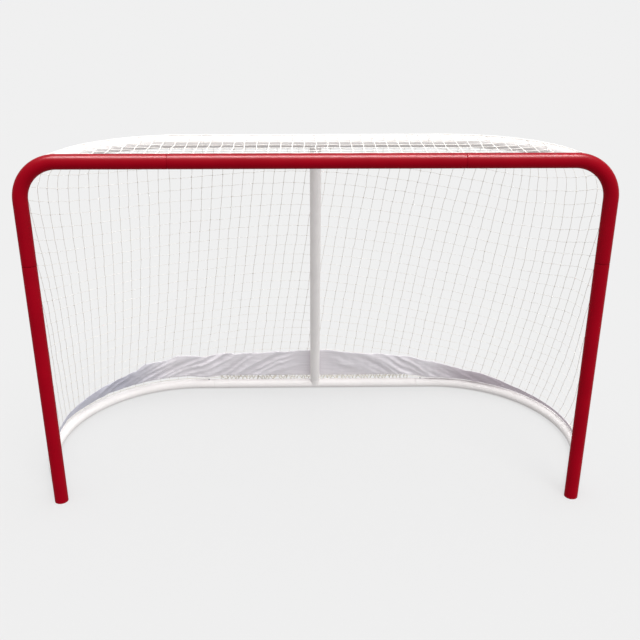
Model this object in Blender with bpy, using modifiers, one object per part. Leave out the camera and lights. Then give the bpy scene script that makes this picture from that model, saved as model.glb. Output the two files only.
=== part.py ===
"""Street hockey goal: a knock-down steel frame with a draped net.

Units are metres. The front of the goal faces -Y, +Z is up, and the origin is on the floor in
the middle of the goal's plan. Tubes plug into each other with swaged spigots, and a sprung snap
button locks each plug.
"""
import math

import bmesh
import bpy
from mathutils import Matrix, Vector

# Goal mouth, inside the red frame
MOUTH_WIDTH = 1.829
MOUTH_HEIGHT = 1.219

# Tubes
TUBE_SIDES = 16
FRONT_RADIUS = 0.0483 / 2
REAR_RADIUS = 0.0422 / 2
WALL = 0.0015
SPIGOT_CLEARANCE = 0.0003
FRONT_SPIGOT = 0.060
REAR_SPIGOT = 0.050
SWAGE_TAPER = 0.003
SEAM_GAP = 0.0005

# Red front frame
CORNER_RADIUS = 0.125
CORNER_STEPS = 8
POST_SEAM_HEIGHT = 0.905
BAR_SEAM = 0.467

# White base rail, which flares out from the posts and runs round behind the goal
BASE_DEPTH = 0.910
BASE_BEND = 0.520
BASE_FLARE = math.radians(22)
BASE_STEPS = 12
BASE_SEAM = 0.472
BASE_STUB = 0.078

# White top rail, which toes in from the corners and carries the net behind the crossbar
TOP_INSET = 0.084
TOP_DROP = 0.008
TOP_DEPTH = 0.400
TOP_BEND = 0.378
TOP_FLARE = math.radians(-15)
TOP_STEPS = 8
TOP_SEAM = 0.400
TOP_STUB = 0.066

# Sloping centre post between the two rails
POST_STUB = 0.034
COPE_START = 0.002

# Snap buttons and their leaf springs
BUTTON_RADIUS = 0.0032
BUTTON_SIDES = 8
BUTTON_CLEARANCE = 0.0003
BUTTON_PROUD = 0.0025
BUTTON_DOME = 0.0008
BUTTON_SETBACK = 0.023
LEAF_WIDTH = 0.008
LEAF_THICKNESS = 0.0008
LEAF_PAD = 0.006
LEAF_REACH = 0.030
LEAF_GAP = 0.0004

# Plugs in the feet of the posts
PLUG_HEIGHT = 0.022
PLUG_WALL = 0.003
PLUG_CHAMFER = 0.001

# Welded wire hooks that carry the net's border cord
HOOK_RADIUS = 0.002
HOOK_SHANK = 0.0085
HOOK_TIP = 0.010
HOOK_BEND = 0.002
HOOK_THROAT = 0.0045
HOOK_PLAY = 0.0003
RAIL_HOOK_PLAY = 0.0015
BAR_HOOK_SHARES = (-0.73, -0.15, 0.15, 0.73)
CORNER_BAR_HOOK_SHARE = 0.77
CORNER_LEG_HOOK_SHARE = 0.5
POST_HOOK_SHARES = (0.18, 0.51, 0.84)
RAIL_HOOK_COLUMNS = (1, 3, 5, 7)
RAIL_HOOK_STEP = 0.008

# Lacing bar on the middle of the base rail, and the cord wound round it
BAR_ROD_RADIUS = 0.003
BAR_ROD_OFFSET = 0.030
BAR_ROD_TILT = math.radians(45)
BAR_ROD_END = 0.0295
LACING_RADIUS = 0.0015
LACING_LOOP = 0.0066
LACING_TURNS = 21
LACING_TURN_POINTS = 8
LACING_TAIL = 0.004

# Net: cords of CORD_SIZE in panels that meet at seams
CORD_SIZE = 0.003
CORD_PLAY = 0.0003
NET_ROWS = 6
BACK_COLUMNS = 7
PANEL_COLUMNS = 2
SIDE_PANELS = ("corner", "quarter", "side", "edge")
SIDE_COLUMNS = PANEL_COLUMNS * len(SIDE_PANELS)
TOP_COLUMNS = 12
TOP_ROWS = 3
BACK_NET_END = 0.032
SEAM_INSET = 0.0019
RAIL_CORD_GAP = 0.0010
WRAP_ANGLES = (math.radians(80), math.radians(45), math.radians(10))
TOP_BORDER_ANGLE = math.radians(100)
RAIL_BORDER_ANGLE = math.radians(60)
FOOT_BORDER_ANGLE = math.radians(75)
TOP_NET_HALF = 0.800

# Skirt: a strip of cloth inside the bottom of the net
SKIRT_THICKNESS = 0.0015
SKIRT_POST_GAP = 0.0029
SKIRT_LACING_GAP = 0.0007
SKIRT_HEIGHT_BACK = 0.200
SKIRT_HEIGHT_FRONT = 0.060
SKIRT_FULL_HALF = 0.350
SKIRT_COLUMNS = 44
SKIRT_ROWS = 3
SKIRT_END = 0.075
SKIRT_RAIL_GAP = 0.0033
SKIRT_FOLDS = 15
SKIRT_FOLD_DEPTH = 0.006

# Sizes that follow from the ones above
POST_X = MOUTH_WIDTH / 2 + FRONT_RADIUS
BAR_HEIGHT = MOUTH_HEIGHT + FRONT_RADIUS
BEND_HEIGHT = BAR_HEIGHT - CORNER_RADIUS
BEND_X = POST_X - CORNER_RADIUS
BASE_HEIGHT = REAR_RADIUS
TOP_X = POST_X - TOP_INSET
TOP_HEIGHT = BAR_HEIGHT - TOP_DROP
BACK_HALF_BASE = BASE_SEAM - BACK_NET_END
BACK_HALF_TOP = TOP_SEAM
BAR_ROD_HALF = BASE_SEAM - BAR_ROD_END
WALL_SLANT = WALL / math.cos(math.pi / TUBE_SIDES)
CORD_HALF = CORD_SIZE / 2

UP = Vector((0, 0, 1))
BACK = Vector((0, 1, 0))
RIGHT = Vector((1, 0, 0))
SIDES = {"left": -1, "right": 1}
HALF_FACET = Matrix.Rotation(math.pi / BUTTON_SIDES, 4, "Z")


class Rail:
    """Half of a rail's centreline in plan, measured from the middle of the goal outwards."""

    def __init__(self, front_x, depth, bend, flare, height):
        self.depth = depth
        self.bend = bend
        self.height = height
        self.turn = math.pi / 2 + flare
        bend_end = depth - bend - bend * math.sin(flare)
        self.middle = front_x + bend_end * math.tan(flare) - bend * math.cos(flare)
        self.bend_length = bend * self.turn
        self.length = self.middle + self.bend_length + bend_end / math.cos(flare)

    def place(self, s, side):
        """Point on the centreline and outward normal at the distance s from the middle."""
        angle = min(max(s - self.middle, 0) / self.bend, self.turn)
        along = min(s, self.middle)
        x = along + self.bend * math.sin(angle)
        y = self.depth - self.bend + self.bend * math.cos(angle)
        straight = max(s - self.middle - self.bend_length, 0)
        x += straight * math.cos(angle)
        y -= straight * math.sin(angle)
        point = Vector((side * x, y + GOAL_LINE, self.height))
        normal = Vector((side * math.sin(angle), math.cos(angle), 0))
        return point, normal

    def heading(self, side):
        """Direction in which the rail leaves the front frame."""
        return Vector((-side * math.cos(self.turn), math.sin(self.turn), 0))

    def stations(self, start, end, steps):
        """Distances of the tube's rings from start to end, with the bend in equal steps."""
        bend = [self.middle + self.bend_length * k / steps for k in range(steps + 1)]
        return [start] + [s for s in bend if start < s < end] + [end]


def post_direction():
    """Unit vector up the sloping centre post, and the normal on its rear side."""
    along = Vector((0, TOP_DEPTH - BASE_DEPTH, TOP_HEIGHT - BASE_HEIGHT)).normalized()
    return along, along.cross(RIGHT).normalized()


POST_ALONG, POST_REAR = post_direction()


def rod_offset():
    """Lacing bar's axis, measured from the axis of the base rail."""
    return BAR_ROD_OFFSET * (BACK * math.cos(BAR_ROD_TILT) + UP * math.sin(BAR_ROD_TILT))


def border_offset():
    """Axis of the net's bottom cord behind the lacing bar, from the axis of the base rail."""
    return rod_offset() + POST_REAR * (BAR_ROD_RADIUS + CORD_PLAY + CORD_HALF)


def loop_offset():
    """Centre of the lacing's loops, which go round the bar and the cord together."""
    return rod_offset() + POST_REAR * (CORD_HALF + CORD_PLAY / 2)


# The lacing's rear side is the furthest back, and the plan is centred on the origin
REAR_REACH = loop_offset().y + LACING_LOOP * POST_REAR.y + LACING_RADIUS
GOAL_LINE = (FRONT_RADIUS - BASE_DEPTH - REAR_REACH) / 2

BASE_RAIL = Rail(POST_X, BASE_DEPTH, BASE_BEND, BASE_FLARE, BASE_HEIGHT)
TOP_RAIL = Rail(TOP_X, TOP_DEPTH, TOP_BEND, TOP_FLARE, TOP_HEIGHT)


def clear_scene():
    for obj in list(bpy.data.objects):
        bpy.data.objects.remove(obj, do_unlink=True)


def make_collection(name):
    collection = bpy.data.collections.new(name)
    bpy.context.scene.collection.children.link(collection)
    return collection


def make_material(name, colour, roughness, metallic=0.0):
    material = bpy.data.materials.new(name)
    material.use_nodes = True
    shader = material.node_tree.nodes["Principled BSDF"]
    shader.inputs["Base Color"].default_value = (*colour, 1)
    shader.inputs["Roughness"].default_value = roughness
    shader.inputs["Metallic"].default_value = metallic
    material.diffuse_color = (*colour, 1)
    return material


def frame_matrix(origin, along, normal):
    """Matrix whose local X runs along, and whose local Z is the normal."""
    x = Vector(along).normalized()
    z = Vector(normal).normalized()
    y = z.cross(x)
    matrix = Matrix((x, y, z)).transposed().to_4x4()
    matrix.translation = origin
    return matrix


def add_object(name, mesh, matrix, material=None):
    """Link a mesh as a part, or as a hidden cutter where it has no material."""
    obj = bpy.data.objects.new(name, mesh)
    collection = PARTS if material else CUTTERS
    collection.objects.link(obj)
    obj.matrix_world = matrix
    if material:
        mesh.materials.append(material)
    else:
        obj.hide_render = True
        obj.display_type = "WIRE"
    return obj


def mesh_of(obj):
    """Evaluated mesh of an object, which is removed with its data."""
    graph = bpy.context.evaluated_depsgraph_get()
    mesh = bpy.data.meshes.new_from_object(obj.evaluated_get(graph))
    data = obj.data
    bpy.data.objects.remove(obj, do_unlink=True)
    if isinstance(data, bpy.types.Curve):
        bpy.data.curves.remove(data)
    return mesh


def weld(mesh):
    """Join the loose caps of a mesh that was a curve."""
    shape = bmesh.new()
    shape.from_mesh(mesh)
    bmesh.ops.remove_doubles(shape, verts=shape.verts, dist=0.00001)
    bmesh.ops.recalc_face_normals(shape, faces=shape.faces)
    shape.to_mesh(mesh)
    shape.free()
    return mesh


def swept_mesh(points, radius, sides, factors=None, capped=True):
    """Mesh of a round bar along the points, whose radius is scaled by one factor a point."""
    curve = bpy.data.curves.new("sweep", "CURVE")
    curve.dimensions = "3D"
    curve.twist_mode = "MINIMUM"
    curve.bevel_depth = radius
    curve.bevel_resolution = sides // 2 - 2
    curve.use_fill_caps = capped
    spline = curve.splines.new("POLY")
    spline.points.add(len(points) - 1)
    for index, target in enumerate(spline.points):
        target.co = (*points[index], 1)
        target.radius = factors[index] if factors else 1.0
    obj = bpy.data.objects.new("sweep", curve)
    bpy.context.scene.collection.objects.link(obj)
    mesh = mesh_of(obj)
    return weld(mesh) if capped else mesh


def smooth(obj):
    obj.data.shade_smooth()
    obj.data.set_sharp_from_angle(angle=math.radians(40))


def hollow_tube(name, points, radius, matrix, material, factors=None):
    """Tube of one wall thickness, open at both ends; local points lie in the XY plane."""
    mesh = swept_mesh(points, radius, TUBE_SIDES, factors, capped=False)
    obj = add_object(name, mesh, matrix, material)
    smooth(obj)
    shell = obj.modifiers.new("wall", "SOLIDIFY")
    shell.thickness = WALL
    shell.offset = -1
    shell.use_even_offset = True
    return obj


def boolean(obj, other, operation):
    cut = obj.modifiers.new(operation.lower(), "BOOLEAN")
    cut.operation = operation
    cut.object = other
    cut.solver = "EXACT"


def spigot_factor(radius):
    """Scale that necks a tube down until it plugs into a tube of the same size."""
    return (radius - WALL_SLANT - SPIGOT_CLEARANCE) / radius


def plug_end(length, radius, spigot):
    """Stations and radius factors of a swaged end whose seam lies at the given length."""
    neck = spigot_factor(radius)
    stations = [length - SWAGE_TAPER, length, length + spigot]
    return stations, [1.0, neck, neck]


def carrier_core(name, points, radius, matrix):
    """Solid core of a carrying tube, half a wall under its skin, that copes a welded stub."""
    core = swept_mesh(points, radius - WALL / 2, TUBE_SIDES)
    return add_object(name, core, matrix)


def weld_stub(carrier, core, name, start, direction, normal, length, radius):
    """Swaged stub, coped to the carrying tube and welded on."""
    stations, factors = plug_end(length, radius, REAR_SPIGOT)
    points = [(COPE_START, 0, 0)] + [(s, 0, 0) for s in stations]
    matrix = frame_matrix(start, direction, normal)
    stub = hollow_tube(name, points, radius, matrix, None, [1.0] + factors)
    boolean(stub, core, "DIFFERENCE")
    boolean(carrier, stub, "UNION")


def hook_points(radius):
    """Wire hook in its own plane: X is out of the tube, Y is along the tip."""
    root = radius - WALL / 2
    top = radius + HOOK_SHANK
    return [(root, 0, 0), (top - HOOK_BEND, 0, 0), (top, HOOK_BEND, 0), (top, HOOK_TIP, 0)]


def weld_hooks(carrier, name, radius, places):
    """Weld one hook at each place, given as an axis point, an outward and a tip direction."""
    shape = bmesh.new()
    for point, outward, tip in places:
        wire = swept_mesh(hook_points(radius), HOOK_RADIUS, 6)
        wire.transform(frame_matrix(point, outward, outward.cross(tip)))
        shape.from_mesh(wire)
        bpy.data.meshes.remove(wire)
    mesh = bpy.data.meshes.new(name)
    shape.to_mesh(mesh)
    shape.free()
    hooks = add_object(name, mesh, Matrix.Identity(4))
    boolean(carrier, hooks, "UNION")


def drill(obj, name, sites):
    """Cut the snap buttons' holes, one for each site on the tube."""
    shape = bmesh.new()
    for site in sites:
        depth = site["radius"]
        middle = site["matrix"] @ Matrix.Translation((0, 0, depth)) @ HALF_FACET
        bmesh.ops.create_cone(
            shape,
            cap_ends=True,
            segments=BUTTON_SIDES,
            radius1=BUTTON_RADIUS + BUTTON_CLEARANCE,
            radius2=BUTTON_RADIUS + BUTTON_CLEARANCE,
            depth=depth,
            matrix=middle,
        )
    mesh = bpy.data.meshes.new(name)
    shape.to_mesh(mesh)
    shape.free()
    holes = add_object(name, mesh, Matrix.Identity(4))
    boolean(obj, holes, "DIFFERENCE")


def button_site(seam, inward, outward, radius):
    """Snap button's frame: origin on the tube's axis, X back into the spigot, Z outward."""
    origin = Vector(seam) - Vector(inward) * BUTTON_SETBACK
    return {"matrix": frame_matrix(origin, inward, outward), "radius": radius}


def button_sites():
    """Every snap button of the goal, by the name of its joint."""
    sites = {}
    for label, side in SIDES.items():
        across = RIGHT * side
        sites["crossbar_" + label] = button_site(
            (side * BAR_SEAM, GOAL_LINE, BAR_HEIGHT), -across, BACK, FRONT_RADIUS)
        sites["post_" + label] = button_site(
            (side * POST_X, GOAL_LINE, POST_SEAM_HEIGHT), UP, BACK, FRONT_RADIUS)
        for name, rail, stub, front_x, seam, outward in (
                ("base", BASE_RAIL, BASE_STUB, POST_X, BASE_SEAM, UP),
                ("top", TOP_RAIL, TOP_STUB, TOP_X, TOP_SEAM, -UP)):
            heading = rail.heading(side)
            root = Vector((side * front_x, GOAL_LINE, rail.height))
            sites[name + "_front_" + label] = button_site(
                root + heading * stub, -heading, outward, REAR_RADIUS)
            sites[name + "_middle_" + label] = button_site(
                (side * seam, rail.depth + GOAL_LINE, rail.height), -across, outward, REAR_RADIUS)
    foot = Vector((0, BASE_DEPTH + GOAL_LINE, BASE_HEIGHT))
    head = Vector((0, TOP_DEPTH + GOAL_LINE, TOP_HEIGHT))
    sites["centre_post_foot"] = button_site(
        foot + POST_ALONG * POST_STUB, -POST_ALONG, POST_REAR, REAR_RADIUS)
    sites["centre_post_head"] = button_site(
        head - POST_ALONG * POST_STUB, POST_ALONG, POST_REAR, REAR_RADIUS)
    return sites


def leaf_level(radius):
    """Height of the leaf spring's pads above the tube's axis, under the spigot's wall."""
    bore = radius - 2 * WALL_SLANT - SPIGOT_CLEARANCE
    return bore - LEAF_WIDTH / 2 * math.tan(math.pi / TUBE_SIDES) - LEAF_GAP


def make_button(name, site):
    """Turned button with a chamfered nose, standing on its leaf spring."""
    radius = site["radius"]
    bottom = leaf_level(radius) + SPIGOT_CLEARANCE
    top = radius + BUTTON_PROUD
    profile = [(0, top), (BUTTON_RADIUS - BUTTON_DOME, top), (BUTTON_RADIUS, top - BUTTON_DOME),
               (BUTTON_RADIUS, bottom), (0, bottom)]
    obj = add_object(name, turned_profile(profile), site["matrix"] @ HALF_FACET, PLATED)
    turn(obj, BUTTON_SIDES)
    smooth(obj)


def turned_profile(profile):
    """Open line of points in the XZ plane, from the axis down the outer side."""
    mesh = bpy.data.meshes.new("profile")
    edges = [(k, k + 1) for k in range(len(profile) - 1)]
    mesh.from_pydata([(x, 0, z) for x, z in profile], edges, [])
    return mesh


def turn(obj, steps):
    screw = obj.modifiers.new("turn", "SCREW")
    screw.steps = steps
    screw.render_steps = steps
    screw.use_merge_vertices = True
    screw.merge_threshold = 0.00001


def make_leaf(name, site):
    """V-shaped leaf spring: two pads against the spigot's wall, joined by a bend."""
    level = leaf_level(site["radius"])
    knee = LEAF_PAD
    inner = level - LEAF_THICKNESS
    nose = LEAF_REACH
    outline = [(-LEAF_PAD, level), (knee, level), (nose - 0.003, 0.003), (nose, 0),
               (nose - 0.003, -0.003), (knee, -level), (-LEAF_PAD, -level),
               (-LEAF_PAD, -inner), (knee - 0.0003, -inner), (nose - 0.0038, -0.0024),
               (nose - 0.0015, 0), (nose - 0.0038, 0.0024), (knee - 0.0003, inner),
               (-LEAF_PAD, inner)]
    curve = bpy.data.curves.new(name, "CURVE")
    curve.dimensions = "2D"
    curve.fill_mode = "BOTH"
    curve.extrude = LEAF_WIDTH / 2
    spline = curve.splines.new("POLY")
    spline.points.add(len(outline) - 1)
    for target, (x, y) in zip(spline.points, outline):
        target.co = (x, y, 0, 1)
    spline.use_cyclic_u = True
    obj = bpy.data.objects.new(name, curve)
    bpy.context.scene.collection.objects.link(obj)
    mesh = weld(mesh_of(obj))
    side_on = Matrix.Rotation(math.pi / 2, 4, "X")
    add_object(name, mesh, site["matrix"] @ side_on, SPRING)


def front_matrix(x, z):
    """Frame of the red tubes: local X is across the goal, local Y is up."""
    return frame_matrix(Vector((x, GOAL_LINE, z)), RIGHT, -BACK)


def make_crossbar(sites):
    """Straight middle of the crossbar, swaged at both ends."""
    stations, factors = plug_end(BAR_SEAM, FRONT_RADIUS, FRONT_SPIGOT)
    points = [(-s, 0, 0) for s in reversed(stations)] + [(s, 0, 0) for s in stations]
    bar = hollow_tube("crossbar", points, FRONT_RADIUS, front_matrix(0, BAR_HEIGHT), RED,
                      factors[::-1] + factors)
    places = [(Vector((BAR_SEAM * share, GOAL_LINE, BAR_HEIGHT)), BACK, UP)
              for share in BAR_HOOK_SHARES]
    weld_hooks(bar, "crossbar_hooks", FRONT_RADIUS, places)
    drill(bar, "crossbar_holes", [sites["crossbar_left"], sites["crossbar_right"]])


def corner_path(side):
    """Corner's centreline from the crossbar seam round the bend, about the bend's centre."""
    points = [(side * (BAR_SEAM + SEAM_GAP - BEND_X), CORNER_RADIUS, 0)]
    for step in range(CORNER_STEPS + 1):
        angle = math.pi / 2 * step / CORNER_STEPS
        points.append((side * CORNER_RADIUS * math.sin(angle), CORNER_RADIUS * math.cos(angle), 0))
    return points


def make_corner(label, side, sites):
    """Bent corner: crossbar socket, swaged lower end, and a rear stub for the top rail."""
    matrix = front_matrix(side * BEND_X, BEND_HEIGHT)
    leg = BEND_HEIGHT - POST_SEAM_HEIGHT
    stations, factors = plug_end(leg, FRONT_RADIUS, FRONT_SPIGOT)
    path = corner_path(side)
    points = path + [(side * CORNER_RADIUS, -s, 0) for s in stations]
    corner = hollow_tube("corner_" + label, points, FRONT_RADIUS, matrix, RED,
                         [1.0] * len(path) + factors)
    core = carrier_core("corner_core_" + label, path + points[len(path):len(path) + 1],
                        FRONT_RADIUS, matrix)
    start = Vector((side * TOP_X, GOAL_LINE, TOP_HEIGHT))
    weld_stub(corner, core, "corner_stub_" + label, start, TOP_RAIL.heading(side), UP,
              TOP_STUB, REAR_RADIUS)
    across = RIGHT * side
    bar_hook = BAR_SEAM + (BEND_X - BAR_SEAM) * CORNER_BAR_HOOK_SHARE
    leg_hook = POST_SEAM_HEIGHT + leg * CORNER_LEG_HOOK_SHARE
    places = [(Vector((side * bar_hook, GOAL_LINE, BAR_HEIGHT)), BACK, UP),
              (Vector((side * POST_X, GOAL_LINE, leg_hook)), BACK, across)]
    weld_hooks(corner, "corner_hooks_" + label, FRONT_RADIUS, places)
    drill(corner, "corner_holes_" + label,
          [sites[name + label] for name in ("crossbar_", "post_", "top_front_")])


def make_post(label, side, sites):
    """Front post: a plain socket at the top and a rear stub for the base rail at the foot."""
    matrix = front_matrix(side * POST_X, 0)
    points = [(0, 0, 0), (0, POST_SEAM_HEIGHT - SEAM_GAP, 0)]
    post = hollow_tube("post_" + label, points, FRONT_RADIUS, matrix, RED)
    core_end = BASE_HEIGHT + 2 * REAR_RADIUS
    core = carrier_core("post_core_" + label, [(0, -REAR_RADIUS, 0), (0, core_end, 0)],
                        FRONT_RADIUS, matrix)
    start = Vector((side * POST_X, GOAL_LINE, BASE_HEIGHT))
    weld_stub(post, core, "post_stub_" + label, start, BASE_RAIL.heading(side), UP,
              BASE_STUB, REAR_RADIUS)
    across = RIGHT * side
    places = [(Vector((side * POST_X, GOAL_LINE, POST_SEAM_HEIGHT * share)), BACK, across)
              for share in POST_HOOK_SHARES]
    weld_hooks(post, "post_hooks_" + label, FRONT_RADIUS, places)
    drill(post, "post_holes_" + label, [sites["post_" + label], sites["base_front_" + label]])


def make_foot_plug(label, side):
    """Plastic cup pressed into the foot of the post, flush with its end."""
    radius = FRONT_RADIUS - WALL_SLANT - SPIGOT_CLEARANCE
    profile = [(0, PLUG_WALL), (radius - PLUG_WALL, PLUG_WALL), (radius - PLUG_WALL, PLUG_HEIGHT),
               (radius, PLUG_HEIGHT), (radius, PLUG_CHAMFER), (radius - PLUG_CHAMFER, 0), (0, 0)]
    matrix = Matrix.Translation((side * POST_X, GOAL_LINE, 0))
    plug = add_object("foot_plug_" + label, turned_profile(profile), matrix, PLASTIC)
    turn(plug, TUBE_SIDES)
    smooth(plug)


def border_columns():
    """Distances along the base rail of the columns of the net from its middle panel forward."""
    first = BACK_HALF_BASE
    last = BASE_RAIL.length - FRONT_BORDER
    pitch = (last - first) / SIDE_COLUMNS
    return [first + pitch * k for k in range(SIDE_COLUMNS + 1)]


def make_side_rail(name, label, side, rail, steps, seam, stub, sites):
    """Bent side of a rail: a plain tube that slips over the spigots at both of its ends."""
    start = seam + SEAM_GAP
    end = rail.length - stub - SEAM_GAP
    origin = rail.place(start, side)[0]
    points = [rail.place(s, side)[0] - origin for s in rail.stations(start, end, steps)]
    tube = hollow_tube(name + "_rail_" + label, points, REAR_RADIUS,
                       Matrix.Translation(origin), WHITE)
    if name == "base":
        weld_hooks(tube, "base_rail_hooks_" + label, REAR_RADIUS, rail_hook_places(side))
    drill(tube, name + "_rail_holes_" + label,
          [sites[name + "_middle_" + label], sites[name + "_front_" + label]])


def rail_hook_places(side):
    """Hooks on the base rail, beside the net's columns and just inside its border cord."""
    columns = border_columns()
    shift = HOOK_RADIUS + RAIL_HOOK_PLAY + CORD_HALF
    tilt = RAIL_BORDER_ANGLE + shift / (REAR_RADIUS + HOOK_THROAT)
    places = []
    for column in RAIL_HOOK_COLUMNS:
        point, normal = BASE_RAIL.place(columns[column] + RAIL_HOOK_STEP, side)
        outward = normal * math.cos(tilt) + UP * math.sin(tilt)
        tip = normal * math.sin(tilt) - UP * math.cos(tilt)
        places.append((point, outward, tip))
    return places


def make_middle_rail(name, rail, seam, post_heading, sites):
    """Straight middle of a rail: swaged ends, and a coped stub for the centre post."""
    stations, factors = plug_end(seam, REAR_RADIUS, REAR_SPIGOT)
    points = [(-s, 0, 0) for s in reversed(stations)] + [(s, 0, 0) for s in stations]
    axis = Vector((0, rail.depth + GOAL_LINE, rail.height))
    matrix = Matrix.Translation(axis)
    tube = hollow_tube(name + "_rail_middle", points, REAR_RADIUS, matrix, WHITE,
                       factors[::-1] + factors)
    core = carrier_core(name + "_rail_core", [(-2 * REAR_RADIUS, 0, 0), (2 * REAR_RADIUS, 0, 0)],
                        REAR_RADIUS, matrix)
    weld_stub(tube, core, name + "_rail_stub", axis, post_heading, RIGHT, POST_STUB, REAR_RADIUS)
    if name == "base":
        weld_lacing_bar(tube, axis)
    post_site = "centre_post_foot" if name == "base" else "centre_post_head"
    drill(tube, name + "_rail_holes",
          [sites[name + "_middle_left"], sites[name + "_middle_right"], sites[post_site]])


def weld_lacing_bar(carrier, axis):
    """Thin bar behind the base rail, with both ends bent in and welded."""
    out = rod_offset()
    root = out.normalized() * (REAR_RADIUS - WALL / 2)
    ends = [-RIGHT * BAR_ROD_HALF, RIGHT * BAR_ROD_HALF]
    bend = BAR_ROD_RADIUS
    points = [ends[0] + root, ends[0] + out * (1 - bend / out.length),
              ends[0] + out + RIGHT * bend, ends[1] + out - RIGHT * bend,
              ends[1] + out * (1 - bend / out.length), ends[1] + root]
    bar = swept_mesh(points, BAR_ROD_RADIUS, 8)
    boolean(carrier, add_object("lacing_bar", bar, Matrix.Translation(axis)), "UNION")


def make_centre_post(sites):
    """Straight sloping post that slips over the stubs of both middle rails."""
    foot = Vector((0, BASE_DEPTH + GOAL_LINE, BASE_HEIGHT))
    span = math.hypot(TOP_DEPTH - BASE_DEPTH, TOP_HEIGHT - BASE_HEIGHT)
    points = [(POST_STUB + SEAM_GAP, 0, 0), (span - POST_STUB - SEAM_GAP, 0, 0)]
    post = hollow_tube("centre_post", points, REAR_RADIUS,
                       frame_matrix(foot, POST_ALONG, RIGHT), WHITE)
    drill(post, "centre_post_holes", [sites["centre_post_foot"], sites["centre_post_head"]])


def least_gap(points, neighbours):
    """Smallest distance between points of a winding that lie on different turns."""
    gaps = [(a - b).length for k, a in enumerate(points) for b in points[k + neighbours:]]
    return min(gaps) - 2 * LACING_RADIUS


def make_lacing():
    """Cord wound along the lacing bar, in one unbroken run with a short tail at each end."""
    count = LACING_TURNS * LACING_TURN_POINTS
    centre = loop_offset()
    points = []
    for k in range(count + 1):
        angle = 2 * math.pi * k / LACING_TURN_POINTS - math.pi / 2
        along = BACK_HALF_BASE * (2 * k / count - 1)
        ring = POST_REAR * math.cos(angle) + POST_ALONG * math.sin(angle)
        points.append(RIGHT * along + centre + ring * LACING_LOOP)
    points.insert(0, points[0] - RIGHT * LACING_TAIL)
    points.append(points[-1] + RIGHT * LACING_TAIL)
    print("Least gap of the lacing to itself: %.4f m" % least_gap(points, LACING_TURN_POINTS))
    axis = Vector((0, BASE_DEPTH + GOAL_LINE, BASE_HEIGHT))
    lacing = add_object("base_lacing", swept_mesh(points, LACING_RADIUS, 6),
                        Matrix.Translation(axis), CORD)
    smooth(lacing)


# The front border cord of the net lies in the throats of the hooks behind the red frame
FRONT_BORDER = FRONT_RADIUS + HOOK_THROAT


def top_place(s, side, angle, dip=0.0):
    """Point of the net on the top rail, at an angle up from the rail's outer side."""
    point, normal = TOP_RAIL.place(s, side)
    reach = REAR_RADIUS + CORD_HALF + RAIL_CORD_GAP + dip
    return point + reach * (normal * math.cos(angle) + UP * math.sin(angle))


def base_place(s, side):
    """Point of the net's bottom border on the base rail."""
    point, normal = BASE_RAIL.place(s, side)
    middle = border_offset()
    blend = min(max((s - BACK_HALF_BASE) / BORDER_BLEND, 0), 1)
    foot = min(max(1 - (BASE_RAIL.length - s) / BASE_STUB, 0), 1)
    angle = RAIL_BORDER_ANGLE + (FOOT_BORDER_ANGLE - RAIL_BORDER_ANGLE) * foot
    reach = REAR_RADIUS + HOOK_THROAT
    out = middle.y * (1 - blend) + reach * math.cos(angle) * blend
    rise = middle.z * (1 - blend) + reach * math.sin(angle) * blend
    return point + normal * out + UP * rise


# The bottom border runs from the lacing bar to the hooks over this length
BORDER_BLEND = 0.060


def front_edge_x(z):
    """Distance out to the centreline of the red post and corner at the height z."""
    rise = z - BEND_HEIGHT
    if rise <= 0:
        return POST_X
    return BEND_X + math.sqrt(max(CORNER_RADIUS ** 2 - rise ** 2, 0))


def net_column(base_s, top_s, side, dip=0.0, front=False):
    """Vertices of one column of the back or side net, from the top rail down."""
    wraps = [top_place(top_s, side, angle, dip) for angle in WRAP_ANGLES]
    bottom = base_place(base_s, side)
    column = list(wraps)
    for row in range(1, NET_ROWS):
        point = wraps[-1].lerp(bottom, row / NET_ROWS)
        if front:
            x = front_edge_x(point.z) + HOOK_RADIUS + HOOK_PLAY + CORD_HALF
            point = Vector((side * x, GOAL_LINE + FRONT_BORDER, point.z))
        column.append(point)
    column.append(bottom)
    return column


def lattice(name, columns):
    """Net panel from its columns of points, as a grid of cells bounded by cords."""
    shape = bmesh.new()
    grid = [[shape.verts.new(point) for point in column] for column in columns]
    for left, right in zip(grid, grid[1:]):
        for row in range(len(left) - 1):
            shape.faces.new((left[row], left[row + 1], right[row + 1], right[row]))
    bmesh.ops.recalc_face_normals(shape, faces=shape.faces)
    mesh = bpy.data.meshes.new(name)
    shape.to_mesh(mesh)
    shape.free()
    net = add_object(name, mesh, Matrix.Identity(4), NETTING)
    wire = net.modifiers.new("cords", "WIREFRAME")
    wire.thickness = CORD_SIZE
    wire.use_even_offset = False
    wire.use_relative_offset = False
    wire.use_boundary = True
    wire.use_replace = True
    return net


def make_back_net():
    """Middle of the net, from the top rail down to the lacing bar."""
    columns = []
    for k in range(BACK_COLUMNS + 1):
        share = 2 * k / BACK_COLUMNS - 1
        side = 1 if share > 0 else -1
        columns.append(net_column(abs(share) * BACK_HALF_BASE, abs(share) * BACK_HALF_TOP, side))
    lattice("net_back", columns)


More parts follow.
